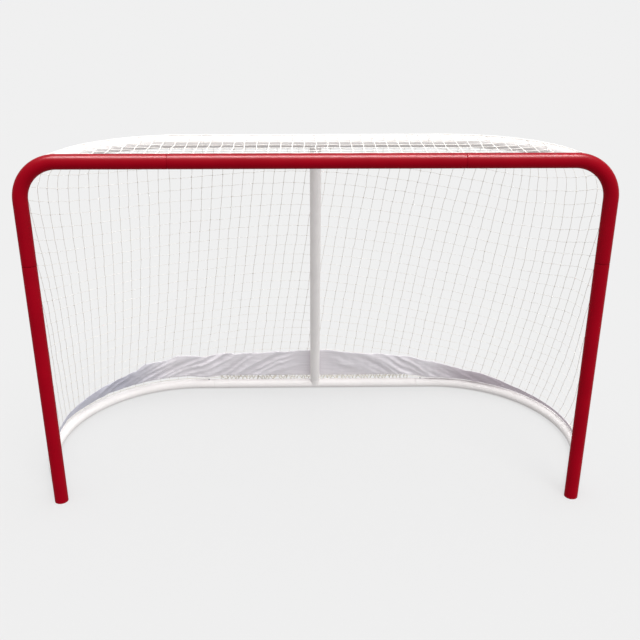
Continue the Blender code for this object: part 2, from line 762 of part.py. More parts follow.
def make_side_nets(label, side):
    """Panels of the net from the middle one to the post, which follow the bends of both rails."""
    base = border_columns()
    pitch = (TOP_RAIL.length - FRONT_BORDER - BACK_HALF_TOP) / SIDE_COLUMNS
    top = [BACK_HALF_TOP + pitch * k for k in range(SIDE_COLUMNS + 1)]
    dip = pitch * pitch / (8 * TOP_BEND)
    for panel, name in enumerate(SIDE_PANELS):
        first = panel * PANEL_COLUMNS
        last = first + PANEL_COLUMNS
        columns = []
        for k in range(first, last + 1):
            inset = 0.0
            if k == first:
                inset = SEAM_INSET if panel else 2 * SEAM_INSET
            elif k == last and k < SIDE_COLUMNS:
                inset = -SEAM_INSET
            at_post = k == SIDE_COLUMNS
            columns.append(net_column(base[k] + inset, top[k] + inset, side, dip, at_post))
        lattice("net_%s_%s" % (name, label), columns)


def make_top_net():
    """Roof of the net, from the hooks on the crossbar back to the top rail."""
    front_y = GOAL_LINE + FRONT_BORDER
    front_z = BAR_HEIGHT + HOOK_RADIUS + HOOK_PLAY + CORD_HALF
    end = TOP_RAIL.length - TOP_STUB
    columns = []
    for k in range(TOP_COLUMNS + 1):
        share = 2 * k / TOP_COLUMNS - 1
        side = 1 if share > 0 else -1
        front = Vector((share * TOP_NET_HALF, front_y, front_z))
        back = top_place(abs(share) * end, side, TOP_BORDER_ANGLE)
        columns.append([front.lerp(back, row / TOP_ROWS) for row in range(TOP_ROWS + 1)])
    lattice("net_top", columns)


def skirt_foot(s, side):
    """Bottom edge of the skirt, above the lacing at the back and above the rail at the sides."""
    point, normal = BASE_RAIL.place(s, side)
    blend = min(max((s - BACK_HALF_BASE) / BORDER_BLEND, 0), 1)
    post_side = REAR_RADIUS + SKIRT_POST_GAP + SKIRT_THICKNESS / 2
    centre = loop_offset()
    away = centre.dot(POST_REAR) - post_side
    clear = math.sqrt((LACING_LOOP + LACING_RADIUS + SKIRT_LACING_GAP) ** 2 - away ** 2)
    back = POST_REAR * post_side + POST_ALONG * (centre.dot(POST_ALONG) + clear)
    rail_rise = REAR_RADIUS + SKIRT_RAIL_GAP
    out = back.y * (1 - blend) + SKIRT_THICKNESS * 2 * blend
    rise = back.z * (1 - blend) + rail_rise * blend
    return point + normal * out + UP * rise, normal


def skirt_height(s):
    """Height of the cloth, lower towards the posts."""
    end = BASE_RAIL.length - SKIRT_END
    share = min(max((s - SKIRT_FULL_HALF) / (end - SKIRT_FULL_HALF), 0), 1)
    ease = share * share * (3 - 2 * share)
    return SKIRT_HEIGHT_BACK + (SKIRT_HEIGHT_FRONT - SKIRT_HEIGHT_BACK) * ease


def make_skirt():
    """Strip of cloth along the foot of the net, with shallow folds between its fixings."""
    end = BASE_RAIL.length - SKIRT_END
    top_end = TOP_RAIL.length - FRONT_BORDER
    shape = bmesh.new()
    grid = []
    for k in range(SKIRT_COLUMNS + 1):
        share = 2 * k / SKIRT_COLUMNS - 1
        side = 1 if share > 0 else -1
        s = abs(share) * end
        foot, normal = skirt_foot(s, side)
        top_s = s * BACK_HALF_TOP / BACK_HALF_BASE
        if s > BACK_HALF_BASE:
            forward = (s - BACK_HALF_BASE) / (BASE_RAIL.length - BACK_HALF_BASE)
            top_s = BACK_HALF_TOP + forward * (top_end - BACK_HALF_TOP)
        rise = (TOP_RAIL.place(top_s, side)[0] - BASE_RAIL.place(s, side)[0]).normalized()
        clear_of_post = min(max(s / BORDER_BLEND - 1, 0), 1)
        fold = (1 - math.cos(2 * math.pi * SKIRT_FOLDS * share)) / 2 * clear_of_post
        column = []
        for row in range(SKIRT_ROWS + 1):
            level = row / SKIRT_ROWS
            inward = SKIRT_FOLD_DEPTH * fold * level
            column.append(shape.verts.new(foot + rise * skirt_height(s) * level - normal * inward))
        grid.append(column)
    for left, right in zip(grid, grid[1:]):
        for row in range(SKIRT_ROWS):
            shape.faces.new((left[row], right[row], right[row + 1], left[row + 1]))
    mesh = bpy.data.meshes.new("skirt")
    shape.to_mesh(mesh)
    shape.free()
    skirt = add_object("skirt", mesh, Matrix.Identity(4), CLOTH)
    skirt.data.shade_smooth()
    cloth = skirt.modifiers.new("thickness", "SOLIDIFY")
    cloth.thickness = SKIRT_THICKNESS
    cloth.offset = 0


def main():
    sites = button_sites()
    make_crossbar(sites)
    for label, side in SIDES.items():
        make_corner(label, side, sites)
        make_post(label, side, sites)
        make_foot_plug(label, side)
        make_side_rail("base", label, side, BASE_RAIL, BASE_STEPS, BASE_SEAM, BASE_STUB, sites)
        make_side_rail("top", label, side, TOP_RAIL, TOP_STEPS, TOP_SEAM, TOP_STUB, sites)
        make_side_nets(label, side)
    make_middle_rail("base", BASE_RAIL, BASE_SEAM, POST_ALONG, sites)
    make_middle_rail("top", TOP_RAIL, TOP_SEAM, -POST_ALONG, sites)
    make_centre_post(sites)
    for name, site in sites.items():
        make_button("button_" + name, site)
        make_leaf("leaf_" + name, site)
    make_lacing()
    make_back_net()
    make_top_net()
    make_skirt()


clear_scene()
PARTS = make_collection("street_hockey_goal")
CUTTERS = make_collection("cutters")
RED = make_material("red_powder_coat", (0.45, 0.004, 0.014), 0.28)
WHITE = make_material("white_powder_coat", (0.84, 0.83, 0.82), 0.35)
PLATED = make_material("zinc_plate", (0.55, 0.55, 0.56), 0.3, 1.0)
SPRING = make_material("spring_steel", (0.25, 0.25, 0.26), 0.35, 1.0)
PLASTIC = make_material("black_plastic", (0.02, 0.02, 0.02), 0.5)
CORD = make_material("lacing_cord", (0.80, 0.77, 0.70), 0.8)
NETTING = make_material("net_cord", (0.86, 0.85, 0.80), 0.8)
CLOTH = make_material("skirt_cloth", (0.60, 0.58, 0.62), 0.85)
main()
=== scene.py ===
"""Street hockey goal, dressed for the studio: smooth tubes, knotted net, lacing and skirt."""
import functools
import math

import bmesh
import bpy
import numpy as np
from bpy.props import FloatProperty, FloatVectorProperty, IntProperty
from mathutils import Matrix, Vector, noise


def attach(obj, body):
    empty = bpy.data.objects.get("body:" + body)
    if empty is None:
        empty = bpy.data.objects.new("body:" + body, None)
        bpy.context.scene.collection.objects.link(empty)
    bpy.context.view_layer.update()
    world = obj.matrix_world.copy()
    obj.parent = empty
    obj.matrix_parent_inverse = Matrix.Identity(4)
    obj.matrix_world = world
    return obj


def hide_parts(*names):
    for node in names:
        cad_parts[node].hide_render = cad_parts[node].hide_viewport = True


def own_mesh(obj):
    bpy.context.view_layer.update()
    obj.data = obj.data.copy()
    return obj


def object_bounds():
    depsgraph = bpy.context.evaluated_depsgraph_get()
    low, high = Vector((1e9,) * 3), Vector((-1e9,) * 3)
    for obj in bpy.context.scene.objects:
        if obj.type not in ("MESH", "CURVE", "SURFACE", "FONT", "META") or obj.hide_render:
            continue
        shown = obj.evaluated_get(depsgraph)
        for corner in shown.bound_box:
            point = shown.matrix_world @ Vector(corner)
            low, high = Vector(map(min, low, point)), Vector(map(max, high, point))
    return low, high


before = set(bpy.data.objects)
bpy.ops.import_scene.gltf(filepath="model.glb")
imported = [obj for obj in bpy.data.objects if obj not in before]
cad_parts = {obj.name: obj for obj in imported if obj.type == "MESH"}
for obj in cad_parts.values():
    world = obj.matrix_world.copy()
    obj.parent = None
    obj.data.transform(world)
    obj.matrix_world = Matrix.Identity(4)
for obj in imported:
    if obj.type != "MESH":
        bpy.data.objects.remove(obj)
CAD_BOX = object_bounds()

bl_info = {
    "name": "Street hockey goal",
    "version": (1, 0, 0),
    "blender": (4, 5, 0),
    "location": "3D View > Sidebar > Goal",
    "description": "Builds a knock-down street hockey goal with its laced net and skirt",
    "category": "Add Mesh",
}

# Directions
UP = Vector((0, 0, 1))
BACK = Vector((0, 1, 0))
RIGHT = Vector((1, 0, 0))
SIDES = {"left": -1, "right": 1}

# Tubes, in metres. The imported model's tubes have sixteen sides, so their wall is thicker when
# it is measured from corner to corner.
TUBE_SIDES = 48
SOLID_TURN = math.pi / 16
FRONT_RADIUS = 0.02415
REAR_RADIUS = 0.0211
WALL = 0.0015
WALL_SLANT = WALL / math.cos(SOLID_TURN)
SPIGOT_GAP = 0.0003
FRONT_SPIGOT = 0.060
REAR_SPIGOT = 0.050
SWAGE_TAPER = 0.003
SEAM_GAP = 0.0005
POST_X = 0.93865
BAR_HEIGHT = 1.24315
CORNER_RADIUS = 0.125
POST_SEAM = 0.905
BAR_SEAM = 0.467
BASE_SEAM = 0.472
BASE_STUB = 0.078
TOP_SEAM = 0.400
TOP_STUB = 0.066
POST_STUB = 0.034

# The posts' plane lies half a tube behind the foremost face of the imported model
GOAL_LINE = CAD_BOX[0][1] + FRONT_RADIUS


class Rail:
    """A rail's centreline in plan, by the signed distance from the middle of the goal."""

    def __init__(self, front_x, depth, bend, flare, height):
        self.depth = depth
        self.bend = bend
        self.height = height
        self.turn = math.pi / 2 + flare
        bend_end = depth - bend - bend * math.sin(flare)
        self.middle = front_x + bend_end * math.tan(flare) - bend * math.cos(flare)
        self.length = self.middle + bend * self.turn + bend_end / math.cos(flare)

    def place(self, along):
        """Point on the centreline and its outward normal."""
        side = -1 if along < 0 else 1
        along = abs(along)
        angle = min(max(along - self.middle, 0) / self.bend, self.turn)
        straight = max(along - self.middle - self.bend * self.turn, 0)
        x = min(along, self.middle) + self.bend * math.sin(angle) + straight * math.cos(angle)
        y = self.depth - self.bend + self.bend * math.cos(angle) - straight * math.sin(angle)
        point = Vector((side * x, y + GOAL_LINE, self.height))
        return point, Vector((side * math.sin(angle), math.cos(angle), 0))

    def heading(self, side):
        """Direction in which the rail leaves the front frame."""
        return Vector((-side * math.cos(self.turn), math.sin(self.turn), 0))


BASE_RAIL = Rail(front_x=POST_X, depth=0.910, bend=0.520, flare=math.radians(22),
                 height=REAR_RADIUS)
TOP_RAIL = Rail(front_x=POST_X - 0.084, depth=0.400, bend=0.378, flare=math.radians(-15),
                height=BAR_HEIGHT - 0.008)
POST_FOOT = Vector((0, BASE_RAIL.depth + GOAL_LINE, BASE_RAIL.height))
POST_HEAD = Vector((0, TOP_RAIL.depth + GOAL_LINE, TOP_RAIL.height))
POST_ALONG = (POST_HEAD - POST_FOOT).normalized()
POST_REAR = POST_ALONG.cross(RIGHT).normalized()

# Weld beads: their half width, their ripples and the depth of these as a share of it
BEAD_HALF = 0.0021
BEAD_RIPPLES = 24
BEAD_RIPPLE = 0.14

# Lacing bar, measured from the axis of the base rail
ROD_RADIUS = 0.003
ROD_OFFSET = 0.030 * (BACK + UP).normalized()
ROD_HALF = BASE_SEAM - 0.0295
CORD_HALF = 0.0015
BORDER_OFFSET = ROD_OFFSET + POST_REAR * (ROD_RADIUS + CORD_HALF + 0.0003)
LOOP_OFFSET = ROD_OFFSET + POST_REAR * (CORD_HALF + 0.00015)

# Wire hooks that hold the net's border cord
HOOK_THROAT = 0.0045
HOOK_WIRE = 0.002
HOOK_REACH = 0.0085
HOOK_TIP = 0.0095
HOOK_CORNER = 0.003
HOOK_ASIDE = 0.0015
CORD_GAP = 0.0003

# Places of the hooks: across the crossbar, across a corner's arm, up its leg, up a post and
# round a side of the base rail, from the middle of the goal or from the floor
BAR_HOOKS = np.linspace(-0.44, 0.44, 13)
ARM_HOOKS = (0.53, 0.60, 0.67, 0.735)
LEG_HOOKS = (0.96, 1.03, 1.10)
POST_HOOKS = np.linspace(0.10, 0.85, 11)
RAIL_HOOKS = np.linspace(0.60, BASE_RAIL.length - 0.13, 12)

# Snap buttons and their leaf springs
BUTTON_RADIUS = 0.0032
BUTTON_HOLE = 0.0035
BUTTON_PROUD = 0.0025
BUTTON_DOME = 0.0009
BUTTON_FROM_SEAM = 0.023
LEAF_HALF_WIDTH = 0.004
LEAF_THICK = 0.0008
LEAF_PAD = 0.006
LEAF_BEND = 0.003
LEAF_LENGTH = 0.0268
LEAF_GAP = 0.0004

# Border of the net
NET_BASE_HALF = BASE_SEAM - 0.032
NET_TOP_HALF = TOP_SEAM
BORDER_BLEND = 0.060
FRONT_BORDER = FRONT_RADIUS + HOOK_THROAT
FRONT_CORD_Y = GOAL_LINE + FRONT_BORDER
FRONT_CORD_RISE = HOOK_WIRE + CORD_GAP + CORD_HALF
NET_FOOT_TILT = 60
NET_FOOT_TURN = 15

# Degrees round the top rail, up from its outer side: where the hanging net starts, where its
# strands pass over the rail, where the border cord lies and where the roof ends
TOP_NET_TILT = 10
TOP_STRAND_TILTS = (50, 84)
TOP_CORD_TILT = 88
ROOF_TILT = 94
TOP_NET_LIFT = 0.0028

# How the front border pulls on the net: 1 is a flat pull, more keeps it near the border
FILM = 1.6

# Girth positions of four strands at the top of the net, halfway down and at its foot. These
# and the next three tables come from a fit of smooth curves to the strands of the real net.
SHARES_DOWN = (0.0, 0.5, 1.0)
STRAND_PLACES = ({-40: -1.3992, -15: -0.5567, 15: 0.5919, 40: 1.3904},
                 {-40: -1.4969, -15: -0.6381, 15: 0.5440, 40: 1.5654},
                 {-40: -1.6949, -15: -0.7601, 15: 0.5072, 40: 1.5854})

# How much farther out each side draws the strands past the fifteenth, at the same heights
SPREAD_FROM = 15
SPREAD = {
    -1: ({25: 0.0401, 35: 0.3736, 45: 0.3789}, {25: 0.0202, 35: 0.2566, 45: 0.8987},
         {25: -0.0419, 35: -0.0640, 45: 0.1521}),
    1: ({25: -0.0035, 35: 0.4992, 45: 1.2555}, {25: 0.0019, 35: 0.2736, 45: 2.3778},
        {25: -0.0242, 35: -0.0076, 45: 0.6498}),
}

# How much of that the top border takes back, and the share of the way down where it fades
SPREAD_TOP = {-1: {25: -0.0941, 35: -0.1192}, 1: {25: -0.0999, 35: -0.2172}}
SPREAD_TOP_REACH = 0.12

# Shares of the way down of row 0 and row 20 by their girth position, from a like fit, and how
# much lower the rows between them hang than an even division
ROW_0 = {-1.65: -0.1159, -1.10: 0.0609, -0.55: 0.1295, 0.0: 0.1064, 0.55: 0.1654, 1.10: 0.1270,
         1.65: -0.0308}
ROW_20 = {-1.65: 0.8234, -1.10: 0.9243, -0.55: 0.8901, 0.0: 0.8525, 0.55: 0.9445, 1.10: 0.9987,
          1.65: 0.8486}
ROW_REACH = 1.704
ROW_SAG = 0.0521

# The lower rows drop near the right post, and the upper rows wave a little beside it
ROW_DROP = 0.9
ROW_DROP_FROM = 1.06
ROW_DROP_WIDTH = 0.35
ROW_WAVE = ((0.40, 0.0), (0.61, 0.0065), (0.75, 0.012), (0.86, 0.005), (0.98, -0.002),
            (1.09, -0.0075))

# Shares of the way down between which knots are tied, strands, and rows above and below row 0
KNOTS_FROM = 0.0119
KNOTS_TO = 0.985
STRANDS = range(-48, 49)
ROWS = range(-6, 30)

# Width of a mesh, and the thickness of the twine in the rows and in the roof, as shares of the
# thickness in the strands
MESH_WIDTH = 0.038
ROW_SHARE = 0.82
ROOF_SHARE = 1.6
ROOF_MESH = (0.0405, 0.041)
ROOF_HALF = 0.80
ROOF_SAG = 0.012

# Lacing: points in a turn, and its loops where they are pressed flat behind the centre post
LACING_STEPS = 16
LACING_FLAT_LOOP = 0.0052
LACING_FLAT_HALF = 0.030
LACING_END = 0.004

# Height of the cloth above its foot along the base rail, measured on the real one, which has
# sagged to both sides
SKIRT_TOP = ((-1.70, 0.016), (-1.40, 0.022), (-1.26, 0.024), (-1.20, 0.030), (-1.125, 0.045),
             (-1.04, 0.058), (-0.94, 0.075), (-0.84, 0.098), (-0.796, 0.129), (-0.69, 0.133),
             (-0.641, 0.151), (-0.50, 0.155), (-0.256, 0.166), (-0.08, 0.175), (0.03, 0.175),
             (0.218, 0.160), (0.334, 0.146), (0.55, 0.118), (0.602, 0.102), (0.70, 0.073),
             (0.80, 0.064), (0.93, 0.034), (1.01, 0.027), (1.127, 0.020), (1.337, 0.015),
             (1.70, 0.012))
SKIRT_TIES = (-0.94, -0.796, -0.641, -0.42, -0.18, 0.06, 0.31, 0.55, 0.76, 0.97)
SKIRT_FULL = 0.2
SKIRT_END = 0.075
SKIRT_THICK = 0.0012

# Wrinkles of the cloth: how steep they are, how far from the middle they are at their
# steepest, and how wide they are
FOLD_SLOPE = 0.58
FOLD_SLOPE_FULL = 0.40
FOLD_WIDTH = 0.044

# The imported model's skirt and lacing, whose places the cloth follows
SOLID_SKIRT = 0.0015
SOLID_CORD = 0.0015
SOLID_LOOP = 0.0066
SKIRT_POST_GAP = 0.0029
SKIRT_LACING_GAP = 0.0007
SKIRT_RAIL_GAP = 0.0033

# Camera: its place from the middle of the goal line, and its tilt, roll and turn in degrees
CAMERA_PLACE = Vector((-0.0337, -2.5624, 1.7446))
CAMERA_TILT = 22.024
CAMERA_ROLL = 0.023
CAMERA_TURN = 0.947
SENSOR_WIDTH = 36
PICTURE_WIDTH = 640
FLOOR_HALF = 600.0


# Node trees
TREES = {}


def socket(node, name, index=0):
    """The index-th enabled input of a node with that name."""
    return [entry for entry in node.inputs if entry.name == name and entry.enabled][index]


class Tree:
    """A geometry or shader node tree that is wired by name."""

    def __init__(self, tree):
        self.tree = tree

    def add(self, kind, values=None, **props):
        """New node with its properties, and its inputs set or linked."""
        node = self.tree.nodes.new(kind)
        for key, value in props.items():
            setattr(node, key, value)
        for key, value in (values or {}).items():
            target = socket(node, key) if isinstance(key, str) else node.inputs[key]
            if isinstance(value, bpy.types.NodeSocket):
                self.tree.links.new(value, target)
            else:
                target.default_value = value
        return node


def geometry_tree(name, inputs):
    """Geometry tree with a geometry input and output and the named inputs."""
    group = bpy.data.node_groups.new(name, "GeometryNodeTree")
    group.interface.new_socket("Geometry", in_out="INPUT", socket_type="NodeSocketGeometry")
    for label, kind in inputs:
        group.interface.new_socket(label, in_out="INPUT", socket_type="NodeSocket" + kind)
    group.interface.new_socket("Geometry", in_out="OUTPUT", socket_type="NodeSocketGeometry")
    tree = Tree(group)
    source = tree.add("NodeGroupInput")
    return tree, {output.name: output for output in source.outputs}


def finish_tree(tree, geometry, material):
    """End in Realize Instances, smooth shading and Set Material."""
    real = tree.add("GeometryNodeRealizeInstances", {"Geometry": geometry})
    smooth = tree.add("GeometryNodeSetShadeSmooth", {"Geometry": real.outputs[0]})
    painted = tree.add("GeometryNodeSetMaterial",
                       {"Geometry": smooth.outputs[0], "Material": material})
    tree.add("NodeGroupOutput", {"Geometry": painted.outputs[0]})
    return tree.tree


def mapped_sweep(tree, curve, sides, radius, scale, caps):
    """Round section along a curve, with metres along it and its turn as the UV map."""
    along = tree.add("GeometryNodeSplineParameter")
    marked = tree.add("GeometryNodeCaptureAttribute", {"Geometry": curve})
    marked.capture_items.new("FLOAT", "along")
    tree.tree.links.new(along.outputs["Length"], marked.inputs[1])
    ring = tree.add("GeometryNodeCurvePrimitiveCircle", {"Resolution": sides, "Radius": radius})
    around = tree.add("GeometryNodeSplineParameter")
    ring_marked = tree.add("GeometryNodeCaptureAttribute", {"Geometry": ring.outputs[0]})
    ring_marked.capture_items.new("FLOAT", "around")
    tree.tree.links.new(around.outputs["Factor"], ring_marked.inputs[1])
    tube = tree.add("GeometryNodeCurveToMesh", {
        "Curve": marked.outputs[0], "Profile Curve": ring_marked.outputs[0],
        "Scale": scale, "Fill Caps": caps})
    both = tree.add("ShaderNodeCombineXYZ", {"X": marked.outputs[1], "Y": ring_marked.outputs[1]})
    mapped = tree.add("GeometryNodeStoreNamedAttribute", {
        "Geometry": tube.outputs[0], "Name": "UVMap", "Value": both.outputs[0]},
        data_type="FLOAT2", domain="CORNER")
    return mapped.outputs[0]


def sweep_tree():
    """Round bar along a path, scaled by the path's share attribute, with its own UV map."""
    tree, given = geometry_tree("sweep", [
        ("Radius", "Float"), ("Sides", "Int"), ("Caps", "Bool"), ("Material", "Material")])
    curve = tree.add("GeometryNodeMeshToCurve", {"Mesh": given["Geometry"]})
    share = tree.add("GeometryNodeInputNamedAttribute", {"Name": "share"}, data_type="FLOAT")
    mapped = mapped_sweep(tree, curve.outputs[0], given["Sides"], given["Radius"],
                          share.outputs[0], given["Caps"])
    return finish_tree(tree, mapped, given["Material"])


def netting_tree():
    """Twine along every edge of a lattice, and a knot where the lattice's knot attribute is set."""
    tree, given = geometry_tree("netting", [
        ("Twine radius", "Float"), ("Sides", "Int"), ("Slack", "Float"), ("Knot", "Object"),
        ("Knot size", "Float"), ("Seed", "Int"), ("Material", "Material")])
    curve = tree.add("GeometryNodeMeshToCurve", {"Mesh": given["Geometry"]})
    divided = tree.add("GeometryNodeSubdivideCurve", {"Curve": curve.outputs[0], "Cuts": 1})
    number = tree.add("GeometryNodeSplineParameter")
    parity = tree.add("ShaderNodeMath", {0: number.outputs["Index"], 1: 2.0},
                      operation="MODULO")
    is_middle = tree.add("FunctionNodeCompare", {"A": parity.outputs[0], "B": 0.5},
                         data_type="FLOAT", operation="GREATER_THAN")
    drift = tree.add("FunctionNodeRandomValue", {0: (-1, -1, -1), 1: (1, 1, 1),
                                                 "Seed": given["Seed"]},
                     data_type="FLOAT_VECTOR")
    scaled = tree.add("ShaderNodeVectorMath", {0: drift.outputs[0], "Scale": given["Slack"]},
                      operation="SCALE")
    bent = tree.add("GeometryNodeSetPosition", {
        "Geometry": divided.outputs[0], "Selection": is_middle.outputs[0],
        "Offset": scaled.outputs[0]})
    share = tree.add("GeometryNodeInputNamedAttribute", {"Name": "share"}, data_type="FLOAT")
    mapped = mapped_sweep(tree, bent.outputs[0], given["Sides"], given["Twine radius"],
                          share.outputs[0], True)
    knotted = tree.add("GeometryNodeInputNamedAttribute", {"Name": "knot"}, data_type="FLOAT")
    chosen = tree.add("FunctionNodeCompare", {"A": knotted.outputs[0], "B": 0.5},
                      data_type="FLOAT", operation="GREATER_THAN")
    shape = tree.add("GeometryNodeObjectInfo", {"Object": given["Knot"]})
    turn = tree.add("FunctionNodeRandomValue", {0: (-0.5, -0.5, -0.9), 1: (0.5, 0.5, 0.9),
                                                "Seed": given["Seed"]},
                    data_type="FLOAT_VECTOR")
    face = tree.add("GeometryNodeInputNamedAttribute", {"Name": "out"},
                    data_type="FLOAT_VECTOR")
    facing = tree.add("FunctionNodeAlignRotationToVector", {"Vector": face.outputs[0]},
                      axis="Z")
    wobble = tree.add("FunctionNodeEulerToRotation", {0: turn.outputs[0]})
    spun = tree.add("FunctionNodeRotateRotation", {0: facing.outputs[0], 1: wobble.outputs[0]},
                    rotation_space="LOCAL")
    swell = tree.add("FunctionNodeRandomValue", {2: 0.85, 3: 1.15, "Seed": given["Seed"]},
                     data_type="FLOAT")
    grown = tree.add("ShaderNodeMath", {0: swell.outputs[1], 1: given["Knot size"]},
                     operation="MULTIPLY")
    knots = tree.add("GeometryNodeInstanceOnPoints", {
        "Points": given["Geometry"], "Selection": chosen.outputs[0],
        "Instance": shape.outputs["Geometry"], "Rotation": spun.outputs[0],
        "Scale": grown.outputs[0]})
    joined = tree.add("GeometryNodeJoinGeometry")
    tree.tree.links.new(mapped, joined.inputs[0])
    tree.tree.links.new(knots.outputs[0], joined.inputs[0])
    return finish_tree(tree, joined.outputs[0], given["Material"])


def hooks_tree():
    """One wire hook on each point, turned by the point's out and tip attributes."""
    tree, given = geometry_tree("hooks", [("Hook", "Object"), ("Material", "Material")])
    out = tree.add("GeometryNodeInputNamedAttribute", {"Name": "out"}, data_type="FLOAT_VECTOR")
    tip = tree.add("GeometryNodeInputNamedAttribute", {"Name": "tip"}, data_type="FLOAT_VECTOR")
    shape = tree.add("GeometryNodeObjectInfo", {"Object": given["Hook"]})
    turned = tree.add("FunctionNodeAxesToRotation", {
        "Primary Axis": out.outputs[0], "Secondary Axis": tip.outputs[0]},
        primary_axis="X", secondary_axis="Y")
    hooks = tree.add("GeometryNodeInstanceOnPoints", {
        "Points": given["Geometry"], "Instance": shape.outputs["Geometry"],
        "Rotation": turned.outputs[0]})
    return finish_tree(tree, hooks.outputs[0], given["Material"])


def apply_tree(obj, group, values):
    """Run a geometry tree on an object and leave the result as its plain mesh."""
    modifier = obj.modifiers.new(group.name, "NODES")
    modifier.node_group = group
    for item in group.interface.items_tree:
        if item.in_out == "INPUT" and item.name in values:
            modifier[item.identifier] = values[item.name]
    return bake(obj)


def bake(obj):
    """Turn an object's modifiers into its plain mesh."""
    bpy.context.view_layer.update()
    graph = bpy.context.evaluated_depsgraph_get()
    mesh = bpy.data.meshes.new_from_object(obj.evaluated_get(graph))
    old = obj.data
    obj.modifiers.clear()
    obj.data = mesh
    bpy.data.meshes.remove(old)
    return obj


def link(name, mesh):
    """New object in the scene."""
    obj = bpy.data.objects.new(name, mesh)
    bpy.context.scene.collection.objects.link(obj)
    return obj


def drop(obj):
    """Remove an object and its mesh."""
    data = obj.data
    bpy.data.objects.remove(obj, do_unlink=True)
    bpy.data.meshes.remove(data)


def line_mesh(name, points, shares=None, closed=False):
    """Polyline mesh with a share attribute, ready for the sweep tree."""
    mesh = bpy.data.meshes.new(name)
    edges = [(number, number + 1) for number in range(len(points) - 1)]
    if closed:
        edges.append((len(points) - 1, 0))
    mesh.from_pydata([tuple(point) for point in points], edges, [])
    share = mesh.attributes.new("share", "FLOAT", "POINT")
    share.data.foreach_set("value", shares or [1.0] * len(points))
    return mesh


def sweep(name, points, radius, sides, material, shares=None, closed=False, caps=True):
    """Round bar along the points, as a plain mesh object."""
    obj = link(name, line_mesh(name, points, shares, closed))
    return apply_tree(obj, TREES["sweep"], {
        "Radius": radius, "Sides": sides, "Caps": caps and not closed, "Material": material})


def merge(obj, *others):
    """Add the other objects' shells to a piece, and remove them."""
    shape = bmesh.new()
    shape.from_mesh(obj.data)
    for other in others:
        shape.from_mesh(other.data)
        drop(other)
    shape.to_mesh(obj.data)
    shape.free()
    return obj


def boolean(obj, other, operation):
    """Join or cut an object with another, which is removed."""
    cut = obj.modifiers.new(operation, "BOOLEAN")
    cut.operation = operation
    cut.object = other
    cut.solver = "EXACT"
    bake(obj)
    drop(other)
    return obj


def shade(obj, degrees=35):
    """Smooth shading with sharp edges past an angle."""
    obj.data.shade_smooth()
    obj.data.set_sharp_from_angle(angle=math.radians(degrees))
    return obj


def finished(obj, body, slot, *nodes):
    """Hand a piece to the frame: its body and the solids that it stands for; the slot is not used.
    """
    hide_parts(*nodes)
    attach(obj, body)
    return obj


# Finishes
MATERIALS = {}


def new_material(name):
    """New material, its tree and its shader."""
    material = bpy.data.materials.new(name)
    material.use_nodes = True
    tree = Tree(material.node_tree)
    return material, tree, material.node_tree.nodes["Principled BSDF"]


def object_noise(tree, scale, detail=2.0, stretch=(1, 1, 1)):
    """Noise on object coordinates."""
    where = tree.add("ShaderNodeTexCoord")
    placed = tree.add("ShaderNodeMapping", {"Vector": where.outputs["Object"], "Scale": stretch})
    return tree.add("ShaderNodeTexNoise", {
        "Vector": placed.outputs[0], "Scale": scale, "Detail": detail})


def tint(tree, factor, dark, light, low=0.3, high=0.7):
    """Colour ramp from dark to light."""
    ramp = tree.add("ShaderNodeValToRGB", {"Fac": factor})
    ramp.color_ramp.elements[0].position = low
    ramp.color_ramp.elements[1].position = high
    ramp.color_ramp.elements[0].color = (*dark, 1)
    ramp.color_ramp.elements[1].color = (*light, 1)
    return ramp.outputs["Color"]


def scale_colour(colour, factor):
    """Darker or lighter colour."""
    return tuple(min(part * factor, 1.0) for part in colour)


def powder_coat(name, colour, roughness, shade_low):
    """Powder coat on steel: even colour, faint orange peel, slightly worn high spots."""
    material, tree, shader = new_material(name)
    patches = object_noise(tree, 9.0, 3.0)
    base = tint(tree, patches.outputs["Fac"], scale_colour(colour, shade_low), colour)
    tree.tree.links.new(base, shader.inputs["Base Color"])
    rough = tree.add("ShaderNodeMapRange", {
        "Value": object_noise(tree, 35.0, 4.0).outputs["Fac"],
        "To Min": roughness - 0.05, "To Max": roughness + 0.07})
    tree.tree.links.new(rough.outputs[0], shader.inputs["Roughness"])
    peel = tree.add("ShaderNodeBump", {
        "Height": object_noise(tree, 420.0, 1.0).outputs["Fac"],
        "Strength": 0.05, "Distance": 0.0004})
    tree.tree.links.new(peel.outputs[0], shader.inputs["Normal"])
    shader.inputs["Specular IOR Level"].default_value = 0.035
    return material


